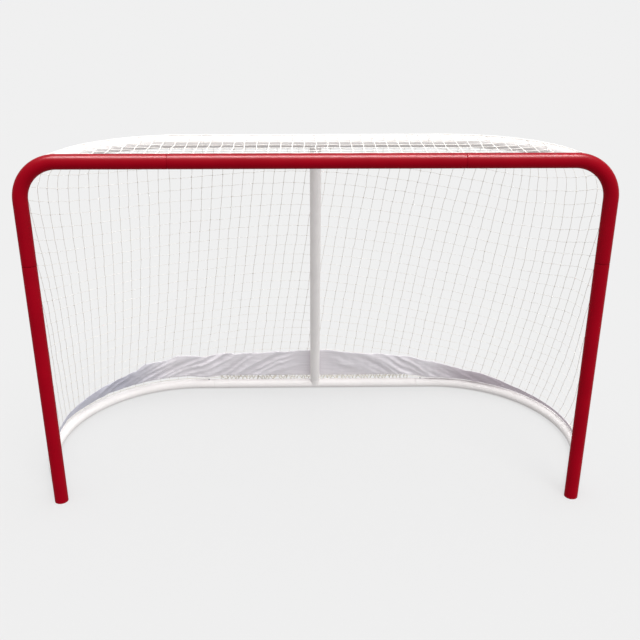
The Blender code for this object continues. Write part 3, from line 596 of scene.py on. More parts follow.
def twine_material(name, colour, pitch, dark=0.72):
    """Twisted twine: slanted strands on the cord's own UV map, painted shade between them, soiled
    patches.
    """
    material, tree, shader = new_material(name)
    uv = tree.add("ShaderNodeUVMap", uv_map="UVMap")
    split = tree.add("ShaderNodeSeparateXYZ", {0: uv.outputs[0]})
    turns = tree.add("ShaderNodeMath", {0: split.outputs[0], 1: 1 / pitch},
                     operation="MULTIPLY")
    strands = tree.add("ShaderNodeMath", {0: split.outputs[1], 1: 3.0}, operation="MULTIPLY")
    phase = tree.add("ShaderNodeMath", {0: turns.outputs[0], 1: strands.outputs[0]},
                     operation="ADD")
    angle = tree.add("ShaderNodeMath", {0: phase.outputs[0], 1: 2 * math.pi},
                     operation="MULTIPLY")
    wave = tree.add("ShaderNodeMath", {0: angle.outputs[0]}, operation="SINE")
    height = tree.add("ShaderNodeMapRange", {"Value": wave.outputs[0], "From Min": -1.0})
    # Painted shade: the twine is darker, by the factor dark, in the grooves of its twist
    painted_twist_shade = tint(tree, height.outputs[0], scale_colour(colour, dark), colour, 0.0, 0.8)
    soil = tint(tree, object_noise(tree, 14.0, 3.0).outputs["Fac"], (0.88, 0.86, 0.82), (1, 1, 1))
    mixed = tree.add("ShaderNodeMix", {"Factor": 1.0}, data_type="RGBA", blend_type="MULTIPLY")
    tree.tree.links.new(painted_twist_shade, mixed.inputs[6])
    tree.tree.links.new(soil, mixed.inputs[7])
    tree.tree.links.new(mixed.outputs[2], shader.inputs["Base Color"])
    bump = tree.add("ShaderNodeBump", {"Height": height.outputs[0], "Strength": 0.6,
                                       "Distance": 0.0004})
    tree.tree.links.new(bump.outputs[0], shader.inputs["Normal"])
    shader.inputs["Roughness"].default_value = 0.75
    shader.inputs["Sheen Weight"].default_value = 0.25
    return material


def cloth_material(name, colour):
    """Thin woven cloth on its own UV map in metres: weave, slubs, and darker ends, the left with
    painted shade.
    """
    material, tree, shader = new_material(name)
    uv = tree.add("ShaderNodeUVMap", uv_map="UVMap")
    warp = tree.add("ShaderNodeTexWave", {
        "Vector": uv.outputs[0], "Scale": 150.0, "Distortion": 0.4}, bands_direction="X")
    weft = tree.add("ShaderNodeTexWave", {
        "Vector": uv.outputs[0], "Scale": 150.0, "Distortion": 0.4}, bands_direction="Y")
    weave = tree.add("ShaderNodeMath", {0: warp.outputs["Fac"], 1: weft.outputs["Fac"]},
                     operation="ADD")
    slub = tree.add("ShaderNodeMapping", {"Vector": uv.outputs[0], "Scale": (9.0, 260.0, 1.0)})
    streak = tree.add("ShaderNodeTexNoise", {"Vector": slub.outputs[0], "Scale": 1.0,
                                             "Detail": 3.0})
    base = tint(tree, streak.outputs["Fac"], scale_colour(colour, 0.86), colour)
    # Darker ends: painted shade in blue-grey towards the left end, a darker mauve towards the right
    # end
    split = tree.add("ShaderNodeSeparateXYZ", {0: uv.outputs[0]})
    left = tree.add("ShaderNodeMapRange", {"Value": split.outputs[0], "From Min": -0.90,
                                           "From Max": -0.68})
    right = tree.add("ShaderNodeMapRange", {"Value": split.outputs[0], "From Min": 0.52,
                                            "From Max": 0.72})
    darker_ends = tree.add("ShaderNodeMix", {"Factor": right.outputs[0], 7: (0.66, 0.61, 0.64, 1)},
                     data_type="RGBA")
    tree.tree.links.new(tint(tree, left.outputs[0], (0.55, 0.57, 0.63), (1, 1, 1), 0.0, 1.0),
                        darker_ends.inputs[6])
    mixed = tree.add("ShaderNodeMix", {"Factor": 1.0}, data_type="RGBA", blend_type="MULTIPLY")
    tree.tree.links.new(base, mixed.inputs[6])
    tree.tree.links.new(darker_ends.outputs[2], mixed.inputs[7])
    tree.tree.links.new(mixed.outputs[2], shader.inputs["Base Color"])
    bump = tree.add("ShaderNodeBump", {"Height": weave.outputs[0], "Strength": 0.35,
                                       "Distance": 0.0003})
    tree.tree.links.new(bump.outputs[0], shader.inputs["Normal"])
    shader.inputs["Roughness"].default_value = 0.62
    shader.inputs["Sheen Weight"].default_value = 0.3
    shader.inputs["Sheen Roughness"].default_value = 0.4
    return material


def metal_material(name, colour, roughness, stretch=(1, 1, 1)):
    """Bare or plated steel with fine streaks."""
    material, tree, shader = new_material(name)
    streaks = object_noise(tree, 160.0, 4.0, stretch)
    base = tint(tree, streaks.outputs["Fac"], scale_colour(colour, 0.8), colour)
    tree.tree.links.new(base, shader.inputs["Base Color"])
    rough = tree.add("ShaderNodeMapRange", {
        "Value": streaks.outputs["Fac"], "To Min": roughness - 0.08, "To Max": roughness + 0.1})
    tree.tree.links.new(rough.outputs[0], shader.inputs["Roughness"])
    shader.inputs["Metallic"].default_value = 1.0
    return material


def plastic_material(name, colour):
    """Moulded plastic with a fine grain."""
    material, tree, shader = new_material(name)
    grain = object_noise(tree, 900.0, 2.0)
    base = tint(tree, object_noise(tree, 40.0).outputs["Fac"], scale_colour(colour, 0.8), colour)
    tree.tree.links.new(base, shader.inputs["Base Color"])
    bump = tree.add("ShaderNodeBump", {"Height": grain.outputs["Fac"], "Strength": 0.2,
                                       "Distance": 0.0002})
    tree.tree.links.new(bump.outputs[0], shader.inputs["Normal"])
    shader.inputs["Roughness"].default_value = 0.5
    return material


# Tubes


def neck_share(radius):
    """Scale of a swaged spigot that plugs into a tube of the same size."""
    return (radius - WALL_SLANT - SPIGOT_GAP) / radius


def end_stations(end, outward, kind, radius, spigot):
    """Distances and shares of the rings at one end: a plug, a socket or a plain cut."""
    if kind == "plug":
        neck = neck_share(radius)
        return [(end - outward * SWAGE_TAPER, 1.0), (end - outward * SWAGE_TAPER * 0.5, 0.985),
                (end, neck + 0.006), (end + outward * 0.001, neck),
                (end + outward * (spigot - 0.002), neck), (end + outward * spigot, neck * 0.97)]
    if kind == "socket":
        end -= outward * SEAM_GAP
        return [(end - outward * 0.0016, 1.0), (end - outward * 0.0006, 0.996), (end, 0.985)]
    return [(end, 1.0)]


def tube(name, route, start, end, kinds, radius, material, spigot, step=0.02):
    """Hollow tube along a route from start to end, with the two kinds of end."""
    first = end_stations(start, -1, kinds[0], radius, spigot)[::-1]
    last = end_stations(end, 1, kinds[1], radius, spigot)
    count = max(int((last[0][0] - first[-1][0]) / step), 1)
    inner = np.linspace(first[-1][0], last[0][0], count + 1)[1:-1]
    stations = first + [(float(place), 1.0) for place in inner] + last
    obj = sweep(name, [route(place) for place, _ in stations], radius, TUBE_SIDES, material,
                [share for _, share in stations], caps=False)
    wall = obj.modifiers.new("wall", "SOLIDIFY")
    wall.thickness = WALL
    wall.offset = -1
    wall.use_even_offset = True
    return bake(obj)


def straight(origin, direction):
    """Straight route from an origin."""
    return lambda along: origin + direction * along


def weld_bead(origin, direction, radius, axis_point, axis, carrier_radius, material):
    """Rippled weld bead where a stub's skin meets a straight carrier, clear of the floor."""
    wide = direction.orthogonal().normalized()
    high = direction.cross(wide)
    points = []
    shares = []
    count = 96
    for step in range(count):
        angle = 2 * math.pi * step / count
        skin = origin + radius * (wide * math.cos(angle) + high * math.sin(angle)) - axis_point
        across = skin - axis * skin.dot(axis)
        flat = direction - axis * direction.dot(axis)
        square = flat.dot(flat)
        double = 2 * across.dot(flat)
        rest = across.dot(across) - carrier_radius ** 2
        reach = (-double + math.sqrt(max(double * double - 4 * square * rest, 0))) / (2 * square)
        point = axis_point + skin + direction * reach
        point.z = max(point.z, BEAD_HALF * (1 + BEAD_RIPPLE))
        points.append(point)
        shares.append(1.0 + BEAD_RIPPLE * math.sin(angle * BEAD_RIPPLES))
    return sweep("bead", points, BEAD_HALF, 8, material, shares, closed=True)


def add_stub(carrier, core, origin, direction, length, carrier_axis, carrier_radius, material):
    """Cope a stub to its carrier, weld it on, and lay the bead."""
    stub = tube("stub", straight(origin, direction), 0.002, length, ("cut", "plug"),
                REAR_RADIUS, material, REAR_SPIGOT)
    boolean(stub, core, "DIFFERENCE")
    boolean(carrier, stub, "UNION")
    bead = weld_bead(origin, direction, REAR_RADIUS, origin, carrier_axis, carrier_radius,
                     material)
    return merge(carrier, bead)


def solid_core(route, start, end, radius, material):
    """Solid bar under a carrier's skin, used to cope its stub."""
    points = [route(float(along)) for along in np.linspace(start, end, 24)]
    return sweep("core", points, radius - WALL / 2, TUBE_SIDES, material)


def add_hooks(carrier, places, material):
    """Weld wire hooks on a tube, each from an axis point, an outward and a tip direction."""
    radius = places[0][3]
    reach = radius + HOOK_REACH
    bend = 0.3 * HOOK_CORNER
    route = [(radius - WALL / 2, 0, 0), (reach - HOOK_CORNER, 0, 0), (reach - bend, bend, 0),
             (reach, HOOK_CORNER, 0), (reach, HOOK_TIP, 0), (reach, HOOK_TIP + 0.0006, 0)]
    wire = sweep("hook", route, HOOK_WIRE, 10, material, [1, 1, 1, 1, 1, 0.7])
    mesh = bpy.data.meshes.new("hook_points")
    mesh.from_pydata([tuple(place[0]) for place in places], [], [])
    for name, index in (("out", 1), ("tip", 2)):
        data = mesh.attributes.new(name, "FLOAT_VECTOR", "POINT")
        data.data.foreach_set("vector", [number for place in places for number in place[index]])
    hooks = apply_tree(link("hooks", mesh), TREES["hooks"], {"Hook": wire, "Material": material})
    drop(wire)
    return merge(carrier, hooks)


def bar_hooks(places):
    """Hooks behind the crossbar at distances from the middle."""
    return [(Vector((x, GOAL_LINE, BAR_HEIGHT)), BACK, UP, FRONT_RADIUS) for x in places]


def post_hooks(side, heights):
    """Hooks behind a post or a corner's leg at heights above the floor."""
    return [(Vector((side * POST_X, GOAL_LINE, z)), BACK, RIGHT * side, FRONT_RADIUS)
            for z in heights]


def drill(obj, sites):
    """Cut the snap buttons' holes."""
    for site in sites:
        mesh = bpy.data.meshes.new("hole")
        shape = bmesh.new()
        bmesh.ops.create_cone(shape, cap_ends=True, segments=28, radius1=BUTTON_HOLE,
                              radius2=BUTTON_HOLE, depth=site["radius"],
                              matrix=site["matrix"] @ Matrix.Translation((0, 0, site["radius"])))
        shape.to_mesh(mesh)
        shape.free()
        boolean(obj, link("hole", mesh), "DIFFERENCE")
    return obj


def frame_matrix(origin, along, normal):
    """Matrix whose local X runs along, and whose local Z is the normal."""
    x = Vector(along).normalized()
    z = Vector(normal).normalized()
    matrix = Matrix((x, z.cross(x), z)).transposed().to_4x4()
    matrix.translation = origin
    return matrix


def button_site(seam, inward, outward, radius):
    """Frame of the snap button beside a seam."""
    origin = Vector(seam) - Vector(inward) * BUTTON_FROM_SEAM
    return {"matrix": frame_matrix(origin, inward, outward), "radius": radius,
            "out": Vector(outward)}


def button_sites():
    """Frame of every snap button: origin on the tube's axis, Z outward."""
    sites = {}
    for label, side in SIDES.items():
        across = RIGHT * side
        sites["crossbar_" + label] = button_site(
            (side * BAR_SEAM, GOAL_LINE, BAR_HEIGHT), -across, BACK, FRONT_RADIUS)
        sites["post_" + label] = button_site(
            (side * POST_X, GOAL_LINE, POST_SEAM), UP, BACK, FRONT_RADIUS)
        for name, rail, stub, seam, out in (("base", BASE_RAIL, BASE_STUB, BASE_SEAM, UP),
                                            ("top", TOP_RAIL, TOP_STUB, TOP_SEAM, -UP)):
            heading = rail.heading(side)
            root = rail.place(side * rail.length)[0]
            sites[name + "_front_" + label] = button_site(
                root + heading * stub, -heading, out, REAR_RADIUS)
            sites[name + "_middle_" + label] = button_site(
                rail.place(side * seam)[0], -across, out, REAR_RADIUS)
    sites["centre_post_foot"] = button_site(
        POST_FOOT + POST_ALONG * POST_STUB, -POST_ALONG, POST_REAR, REAR_RADIUS)
    sites["centre_post_head"] = button_site(
        POST_HEAD - POST_ALONG * POST_STUB, POST_ALONG, POST_REAR, REAR_RADIUS)
    return sites


SITES = button_sites()


def corner_route(side):
    """Centreline of a corner, from the middle of the crossbar round the bend and down."""
    bend_x = POST_X - CORNER_RADIUS
    arc = CORNER_RADIUS * math.pi / 2

    def route(along):
        if along < bend_x:
            return Vector((side * along, GOAL_LINE, BAR_HEIGHT))
        angle = min(along - bend_x, arc) / CORNER_RADIUS
        x = bend_x + CORNER_RADIUS * math.sin(angle)
        z = BAR_HEIGHT - CORNER_RADIUS * (1 - math.cos(angle)) - max(along - bend_x - arc, 0)
        return Vector((side * x, GOAL_LINE, z))

    return route, bend_x + arc


def crossbar_piece(paint):
    """Straight middle of the crossbar, with its hooks."""
    bar = tube("crossbar_tube", straight(Vector((0, GOAL_LINE, BAR_HEIGHT)), RIGHT),
               -BAR_SEAM, BAR_SEAM, ("plug", "plug"), FRONT_RADIUS, paint, FRONT_SPIGOT)
    add_hooks(bar, bar_hooks(BAR_HOOKS), paint)
    drill(bar, [SITES["crossbar_left"], SITES["crossbar_right"]])
    return finished(shade(bar), "frame", "red_paint", "crossbar")


def corner_piece(label, side, paint):
    """Bent corner with the top rail's stub and its hooks."""
    route, bend_end = corner_route(side)
    leg = BAR_HEIGHT - CORNER_RADIUS - POST_SEAM
    corner = tube("corner_tube_" + label, route, BAR_SEAM, bend_end + leg,
                  ("socket", "plug"), FRONT_RADIUS, paint, FRONT_SPIGOT, 0.008)
    core = solid_core(route, BAR_SEAM, bend_end + leg / 2, FRONT_RADIUS, paint)
    root = TOP_RAIL.place(side * TOP_RAIL.length)[0]
    add_stub(corner, core, root, TOP_RAIL.heading(side), TOP_STUB, RIGHT, FRONT_RADIUS - 0.0006,
             paint)
    arm = [side * x for x in ARM_HOOKS]
    add_hooks(corner, bar_hooks(arm) + post_hooks(side, LEG_HOOKS), paint)
    drill(corner, [SITES[name + label] for name in ("crossbar_", "post_", "top_front_")])
    return finished(shade(corner), "frame", "red_paint", "corner_" + label)


def post_piece(label, side, paint):
    """Front post with the base rail's stub and its hooks."""
    foot = Vector((side * POST_X, GOAL_LINE, 0))
    post = tube("post_tube_" + label, straight(foot, UP), 0, POST_SEAM, ("foot", "socket"),
                FRONT_RADIUS, paint, FRONT_SPIGOT)
    core = solid_core(straight(foot, UP), -0.02, 0.08, FRONT_RADIUS, paint)
    root = BASE_RAIL.place(side * BASE_RAIL.length)[0]
    add_stub(post, core, root, BASE_RAIL.heading(side), BASE_STUB, UP, FRONT_RADIUS, paint)
    add_hooks(post, post_hooks(side, POST_HOOKS), paint)
    drill(post, [SITES["post_" + label], SITES["base_front_" + label]])
    return finished(shade(post), "frame", "red_paint", "post_" + label)


def side_rail_piece(name, label, side, rail, seam, stub, paint):
    """Bent side of the base rail or the top rail."""
    tube_name = "%s_rail_tube_%s" % (name, label)
    piece = tube(tube_name, lambda along: rail.place(side * along)[0], seam, rail.length - stub,
                 ("socket", "socket"), REAR_RADIUS, paint, REAR_SPIGOT, 0.014)
    if name == "base":
        add_hooks(piece, rail_hook_places(side), paint)
    drill(piece, [SITES["%s_middle_%s" % (name, label)], SITES["%s_front_%s" % (name, label)]])
    return finished(shade(piece), "frame", "white_paint", "%s_rail_%s" % (name, label))


def rail_hook_places(side):
    """Hooks on the base rail, just inside the net's border cord."""
    reach = REAR_RADIUS + HOOK_THROAT
    tilt = math.radians(NET_FOOT_TILT) + (HOOK_WIRE + HOOK_ASIDE + CORD_HALF) / reach
    places = []
    for along in RAIL_HOOKS:
        point, normal = BASE_RAIL.place(side * float(along))
        out = normal * math.cos(tilt) + UP * math.sin(tilt)
        tip = normal * math.sin(tilt) - UP * math.cos(tilt)
        places.append((point, out, tip, REAR_RADIUS))
    return places


def middle_rail_piece(name, rail, seam, heading, paint):
    """Straight middle of a rail with the centre post's stub."""
    centre = rail.place(0)[0]
    piece = tube(name + "_rail_tube_middle", straight(centre, RIGHT), -seam, seam,
                 ("plug", "plug"), REAR_RADIUS, paint, REAR_SPIGOT)
    core = solid_core(straight(centre, RIGHT), -0.05, 0.05, REAR_RADIUS, paint)
    add_stub(piece, core, centre, heading, POST_STUB, RIGHT, REAR_RADIUS - 0.0008, paint)
    if name == "base":
        merge(piece, lacing_bar(centre, paint))
    site = "centre_post_foot" if name == "base" else "centre_post_head"
    drill(piece, [SITES[name + "_middle_left"], SITES[name + "_middle_right"], SITES[site]])
    return finished(shade(piece), "frame", "white_paint", name + "_rail_middle")


def lacing_bar(centre, paint):
    """Thin bar behind the base rail, bent in at both ends."""
    out = ROD_OFFSET.normalized()
    points = []
    for end in (-1, 1):
        corner = centre + RIGHT * (end * ROD_HALF)
        leg = [corner + out * (REAR_RADIUS - WALL / 2), corner + out * 0.025,
               corner + out * 0.0285 - RIGHT * (end * 0.0015),
               corner + out * 0.030 - RIGHT * (end * 0.005)]
        points += leg if end < 0 else leg[::-1]
    return sweep("bar", points, ROD_RADIUS, 16, paint)


def centre_post_piece(paint):
    """Sloping tube between the two rails."""
    span = (POST_HEAD - POST_FOOT).length
    post = tube("centre_post_tube", straight(POST_FOOT, POST_ALONG), POST_STUB,
                span - POST_STUB, ("socket", "socket"), REAR_RADIUS, paint, REAR_SPIGOT)
    drill(post, [SITES["centre_post_foot"], SITES["centre_post_head"]])
    return finished(shade(post), "frame", "white_paint", "centre_post")


# Buttons, springs and plugs


def turned(name, profile, matrix, steps, material):
    """Solid of revolution about local Z from an open profile of (radius, height)."""
    mesh = bpy.data.meshes.new(name)
    edges = [(number, number + 1) for number in range(len(profile) - 1)]
    mesh.from_pydata([(x, 0, z) for x, z in profile], edges, [])
    mesh.materials.append(material)
    obj = link(name, mesh)
    screw = obj.modifiers.new("turn", "SCREW")
    screw.steps = steps
    screw.render_steps = steps
    screw.use_merge_vertices = True
    screw.merge_threshold = 0.00001
    bake(obj)
    obj.data.transform(matrix)
    return shade(obj)


def leaf_level(radius):
    """Height of a leaf spring's pads above the tube's axis."""
    return radius - 2 * WALL_SLANT - SPIGOT_GAP - LEAF_HALF_WIDTH * math.tan(SOLID_TURN) - LEAF_GAP


def button_piece(name, site, metal):
    """Domed snap button that stands on its leaf spring."""
    top = site["radius"] + BUTTON_PROUD
    bottom = leaf_level(site["radius"]) + SPIGOT_GAP
    dome = [(BUTTON_RADIUS - BUTTON_DOME * (1 - math.sin(turn)),
             top - BUTTON_DOME * (1 - math.cos(turn))) for turn in np.linspace(0, math.pi / 2, 6)]
    profile = [(0, top)] + dome + [(BUTTON_RADIUS, bottom + 0.0002),
                                   (BUTTON_RADIUS - 0.0002, bottom), (0, bottom)]
    piece = turned("snap_button_" + name, profile, site["matrix"], 28, metal)
    return finished(piece, "button_" + name, "zinc_plate", "button_" + name)


def leaf_piece(name, site, steel):
    """V-shaped leaf spring that closes as its button is pressed."""
    level = leaf_level(site["radius"])
    pad = level - LEAF_THICK / 2
    middle = [(-LEAF_PAD, pad), (LEAF_PAD, pad)]
    middle += [(LEAF_LENGTH + LEAF_BEND * math.sin(turn), LEAF_BEND * math.cos(turn))
               for turn in np.linspace(0, math.pi, 9)]
    middle += [(LEAF_PAD, -pad), (-LEAF_PAD, -pad)]
    mesh = bpy.data.meshes.new("leaf")
    verts = [(x, y, z) for x, z in middle for y in (-LEAF_HALF_WIDTH, LEAF_HALF_WIDTH)]
    faces = [(corner, corner + 1, corner + 3, corner + 2)
             for corner in range(0, 2 * len(middle) - 2, 2)]
    mesh.from_pydata(verts, [], faces)
    mesh.materials.append(steel)
    leaf = link("leaf_spring_" + name, mesh)
    strip = leaf.modifiers.new("strip", "SOLIDIFY")
    strip.thickness = LEAF_THICK
    strip.offset = 0
    edge = leaf.modifiers.new("edge", "BEVEL")
    edge.width = 0.0001
    edge.segments = 1
    bake(leaf)
    leaf.data.transform(site["matrix"])
    shade(leaf)
    finished(leaf, "frame", "spring_steel", "leaf_" + name)
    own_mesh(leaf)
    return leaf


def plug_piece(label, side, plastic):
    """Foot plug, flush with the end of the post."""
    radius = FRONT_RADIUS - WALL - SPIGOT_GAP
    profile = [(0, 0.003), (radius - 0.003, 0.003), (radius - 0.003, 0.022), (radius, 0.022),
               (radius, 0.001), (radius - 0.0004, 0.0002), (radius - 0.001, 0), (0, 0)]
    place = Matrix.Translation((side * POST_X, GOAL_LINE, 0))
    piece = turned("foot_cup_" + label, profile, place, 48, plastic)
    return finished(piece, "frame", "plug_plastic", "foot_plug_" + label)


# Net


def front_edge_x(z):
    """Distance out to the centreline of the red post and corner at the height z."""
    rise = z - (BAR_HEIGHT - CORNER_RADIUS)
    if rise <= 0:
        return POST_X
    return POST_X - CORNER_RADIUS + math.sqrt(max(CORNER_RADIUS ** 2 - rise ** 2, 0))


def top_place(along, degrees):
    """Point of the net on the top rail, at an angle up from the rail's outer side."""
    point, normal = TOP_RAIL.place(along)
    angle = math.radians(degrees)
    return point + (REAR_RADIUS + TOP_NET_LIFT) * (normal * math.cos(angle) + UP * math.sin(angle))


def base_place(along):
    """Point of the net's bottom border."""
    point, normal = BASE_RAIL.place(along)
    blend = min(max((abs(along) - NET_BASE_HALF) / BORDER_BLEND, 0), 1)
    foot = min(max(1 - (BASE_RAIL.length - abs(along)) / BASE_STUB, 0), 1)
    angle = math.radians(NET_FOOT_TILT + NET_FOOT_TURN * foot)
    reach = REAR_RADIUS + HOOK_THROAT
    out = BORDER_OFFSET.y * (1 - blend) + reach * math.cos(angle) * blend
    rise = BORDER_OFFSET.z * (1 - blend) + reach * math.sin(angle) * blend
    return point + normal * out + UP * rise


class NetSurface:
    """The hanging net by its girth position and its share of the way down."""

    base_end = BASE_RAIL.length - FRONT_BORDER
    top_end = TOP_RAIL.length - FRONT_BORDER

    def half(self, down):
        """Half of the net's girth at a share of the way down."""
        return self.top_end + (self.base_end - self.top_end) * down

    def feet(self, girth, down):
        """Distances along the top and base rails of the line through a point."""
        side = -1 if girth < 0 else 1
        middle = NET_TOP_HALF + (NET_BASE_HALF - NET_TOP_HALF) * down
        if abs(girth) <= middle:
            share = abs(girth) / middle
            return side * share * NET_TOP_HALF, side * share * NET_BASE_HALF, 0.0
        share = (abs(girth) - middle) / (self.half(down) - middle)
        top = NET_TOP_HALF + share * (self.top_end - NET_TOP_HALF)
        base = NET_BASE_HALF + share * (self.base_end - NET_BASE_HALF)
        return side * top, side * base, share

    def place(self, girth, down):
        """Point of the net at its girth position and share of the way down."""
        top, base, share = self.feet(girth, down)
        point = top_place(top, TOP_NET_TILT).lerp(base_place(base), down)
        if share > 0:
            side = -1 if girth < 0 else 1
            end = top_place(side * self.top_end, TOP_NET_TILT).lerp(
                base_place(side * self.base_end), down)
            x = front_edge_x(end.z) + FRONT_CORD_RISE
            border = Vector((side * x, FRONT_CORD_Y, end.z))
            point += (border - end) * share ** FILM
        return point

    def normal(self, girth, down):
        """Direction out of the net at a point."""
        step = 0.004
        across = self.place(girth + step, down) - self.place(girth - step, down)
        fall = (self.place(girth, min(down + step, 1))
                - self.place(girth, max(down - step, 0)))
        return fall.cross(across).normalized()


NET = NetSurface()


def drape(girth, down):
    """Point of the hanging net with its slack, which never reaches the post or the frame."""
    hang = math.sin(math.pi * down) ** 0.7
    slack = noise.noise(Vector((girth * 3.1, down * 2.3, 4.0))) + 0.9
    edge = min(1.0, (NET.half(down) - abs(girth)) / 0.15)
    return NET.place(girth, down) + NET.normal(girth, down) * (0.004 * slack * hang * max(edge, 0))


class Lattice:
    """Knots and cords of a net, collected before they become one mesh."""

    def __init__(self):
        self.points = []
        self.knots = []
        self.outs = []
        self.shares = []
        self.edges = []

    def knot(self, point, tied, out, share=1.0):
        """Add a point, tied or plain, and give its number."""
        self.points.append(tuple(point))
        self.knots.append(1.0 if tied else 0.0)
        self.outs.append(tuple(out))
        self.shares.append(share)
        return len(self.points) - 1

    def cord(self, first, second):
        """Join two points."""
        if first != second:
            self.edges.append((first, second))

    def chain(self, numbers):
        """Cords from point to point, but none across a gap in the net."""
        for first, second in zip(numbers, numbers[1:]):
            if (Vector(self.points[first]) - Vector(self.points[second])).length < 3.2 * MESH_WIDTH:
                self.cord(first, second)

    def mesh(self, name):
        """Points and cords as a mesh, with what the netting tree reads."""
        mesh = bpy.data.meshes.new(name)
        mesh.from_pydata(self.points, self.edges, [])
        knots = mesh.attributes.new("knot", "FLOAT", "POINT")
        knots.data.foreach_set("value", self.knots)
        shares = mesh.attributes.new("share", "FLOAT", "POINT")
        shares.data.foreach_set("value", self.shares)
        outs = mesh.attributes.new("out", "FLOAT_VECTOR", "POINT")
        outs.data.foreach_set("vector", [number for out in self.outs for number in out])
        return mesh


def knot_shape(material):
    """Small lump of crossed turns, for every knot of the net."""
    mesh = bpy.data.meshes.new("knot")
    shape = bmesh.new()
    bmesh.ops.create_icosphere(shape, subdivisions=1, radius=1.0,
                               matrix=Matrix.Diagonal((1.0, 0.8, 0.72, 1)))
    for vert in shape.verts:
        vert.co *= 1 + 0.18 * math.sin(5 * vert.co.x + 3 * vert.co.y)
    # The knots' UVs lie on the dark phase of the twine's twist: painted shade between the crossed
    # turns, and dirt
    shade_and_dirt_uv = shape.loops.layers.uv.new("UVMap")
    for face in shape.faces:
        for loop in face.loops:
            loop[shade_and_dirt_uv].uv = (0.0, 0.22 + 0.06 * loop.vert.co.z)
    shape.to_mesh(mesh)
    shape.free()
    mesh.materials.append(material)
    return link("knot", mesh)


def smooth_step(x):
    """Share from 0 to 1 that starts and ends gently."""
    x = min(max(x, 0), 1)
    return x * x * (3 - 2 * x)


def through(curve, x):
    """Value at x of the smooth curve through the places and values."""
    total = 0.0
    for place, value in curve.items():
        for other in curve:
            if other != place:
                value *= (x - other) / (place - other)
        total += value
    return total


def between(points, x):
    """Value at x of the straight lines from point to point."""
    return float(np.interp(x, *zip(*points)))


def spread_past(distances, strand):
    """Distance at a strand, from those at a few outer ones and none at the fifteenth."""
    rates = {number: distance / (number - SPREAD_FROM) ** 2
             for number, distance in distances.items()}
    return max(abs(strand) - SPREAD_FROM, 0) ** 2 * through(rates, abs(strand))


@functools.cache
def strand_path(strand):
    """Girth positions of a strand down the net, and how far the top border draws it."""
    side = -1 if strand < 0 else 1
    places = [through(even, strand) + side * spread_past(spread, strand)
              for even, spread in zip(STRAND_PLACES, SPREAD[side])]
    return dict(zip(SHARES_DOWN, places)), side * spread_past(SPREAD_TOP[side], strand)


def strand_girth(strand, down):
    """Girth position of a strand at a share of the way down."""
    places, pull = strand_path(strand)
    return through(places, down) + pull * math.exp(-max(down, 0) / SPREAD_TOP_REACH)


def row_down(row, girth):
    """Share of the way down of a row at a girth position."""
    reach = min(max(girth, -ROW_REACH), ROW_REACH)
    part = row / 20
    level = (through(ROW_0, reach) * (1 - part) + through(ROW_20, reach) * part
             + ROW_SAG * part * (1 - part))
    drop = ROW_DROP * min(max(girth - ROW_DROP_FROM, 0), ROW_DROP_WIDTH) ** 2
    lower = smooth_step((level - 0.25) / 0.15)
    upper = 1 - smooth_step((level - 0.40) / 0.20)
    return level + drop * lower + between(ROW_WAVE, girth) * upper


def crossing(strand, row):
    """Where a strand meets a row."""
    down = 0.5
    for _ in range(24):
        down = row_down(row, strand_girth(strand, min(max(down, -0.2), 1.2)))
    return strand_girth(strand, down), down


def strand_top(strand, first):
    """Where a strand leaves the top rail or the front border, above its first row's share."""
    inside = first
    for down in np.linspace(first, 0, 60):
        if abs(strand_girth(strand, down)) > NET.half(down):
            break
        inside = float(down)
    if inside == 0:
        return strand_girth(strand, 0), 0.0
    side = -1 if strand < 0 else 1
    return side * NET.half(inside), inside


def hanging_net(settings):
    """Square mesh of the back and sides, trimmed at the posts and both rails."""
    lattice = Lattice()
    grid = {}
    for strand in STRANDS:
        for row in ROWS:
            girth, down = crossing(strand, row)
            if not KNOTS_FROM < down < KNOTS_TO or abs(girth) > NET.half(down) - MESH_WIDTH / 4:
                continue
            wander = noise.noise(Vector((strand * 1.3, row * 1.1, 2.0))) * settings.uneven
            level = down + noise.noise(Vector((strand * 1.1, row * 1.4, 9.0))) * settings.uneven
            point = drape(girth + wander, min(max(level, 0), 1))
            grid[strand, row] = lattice.knot(point, True, NET.normal(girth, down))
    strands = {}
    rows = {}
    for strand, row in grid:
        strands.setdefault(strand, []).append(row)
        rows.setdefault(row, []).append(strand)
    for strand, crossed in strands.items():
        girth, down = strand_top(strand, crossing(strand, min(crossed))[1])
        ends = [lattice.knot(NET.place(girth, down), False, BACK)]
        if down == 0:
            for degrees in TOP_STRAND_TILTS:
                ends.insert(0, lattice.knot(top_place(girth, degrees), False, BACK))
        chain = ends + [grid[strand, row] for row in sorted(crossed)]
        foot = strand_girth(strand, 1)
        if abs(foot) < NET.base_end:
            chain.append(lattice.knot(NET.place(foot, 1), False, BACK))
        lattice.chain(chain)
    for row, crossed in rows.items():
        crossed = sorted(crossed)
        chain = [lattice.knot(lattice.points[grid[strand, row]], False, BACK, ROW_SHARE)
                 for strand in crossed]
        for strand in (crossed[0], crossed[-1]):
            girth, down = crossing(strand, row)
            side = -1 if girth < 0 else 1
            if NET.half(down) - abs(girth) < 2.6 * MESH_WIDTH:
                end = lattice.knot(NET.place(side * NET.half(down), down), False, BACK, ROW_SHARE)
                chain.insert(0 if side < 0 else len(chain), end)
        lattice.chain(chain)
    return lattice


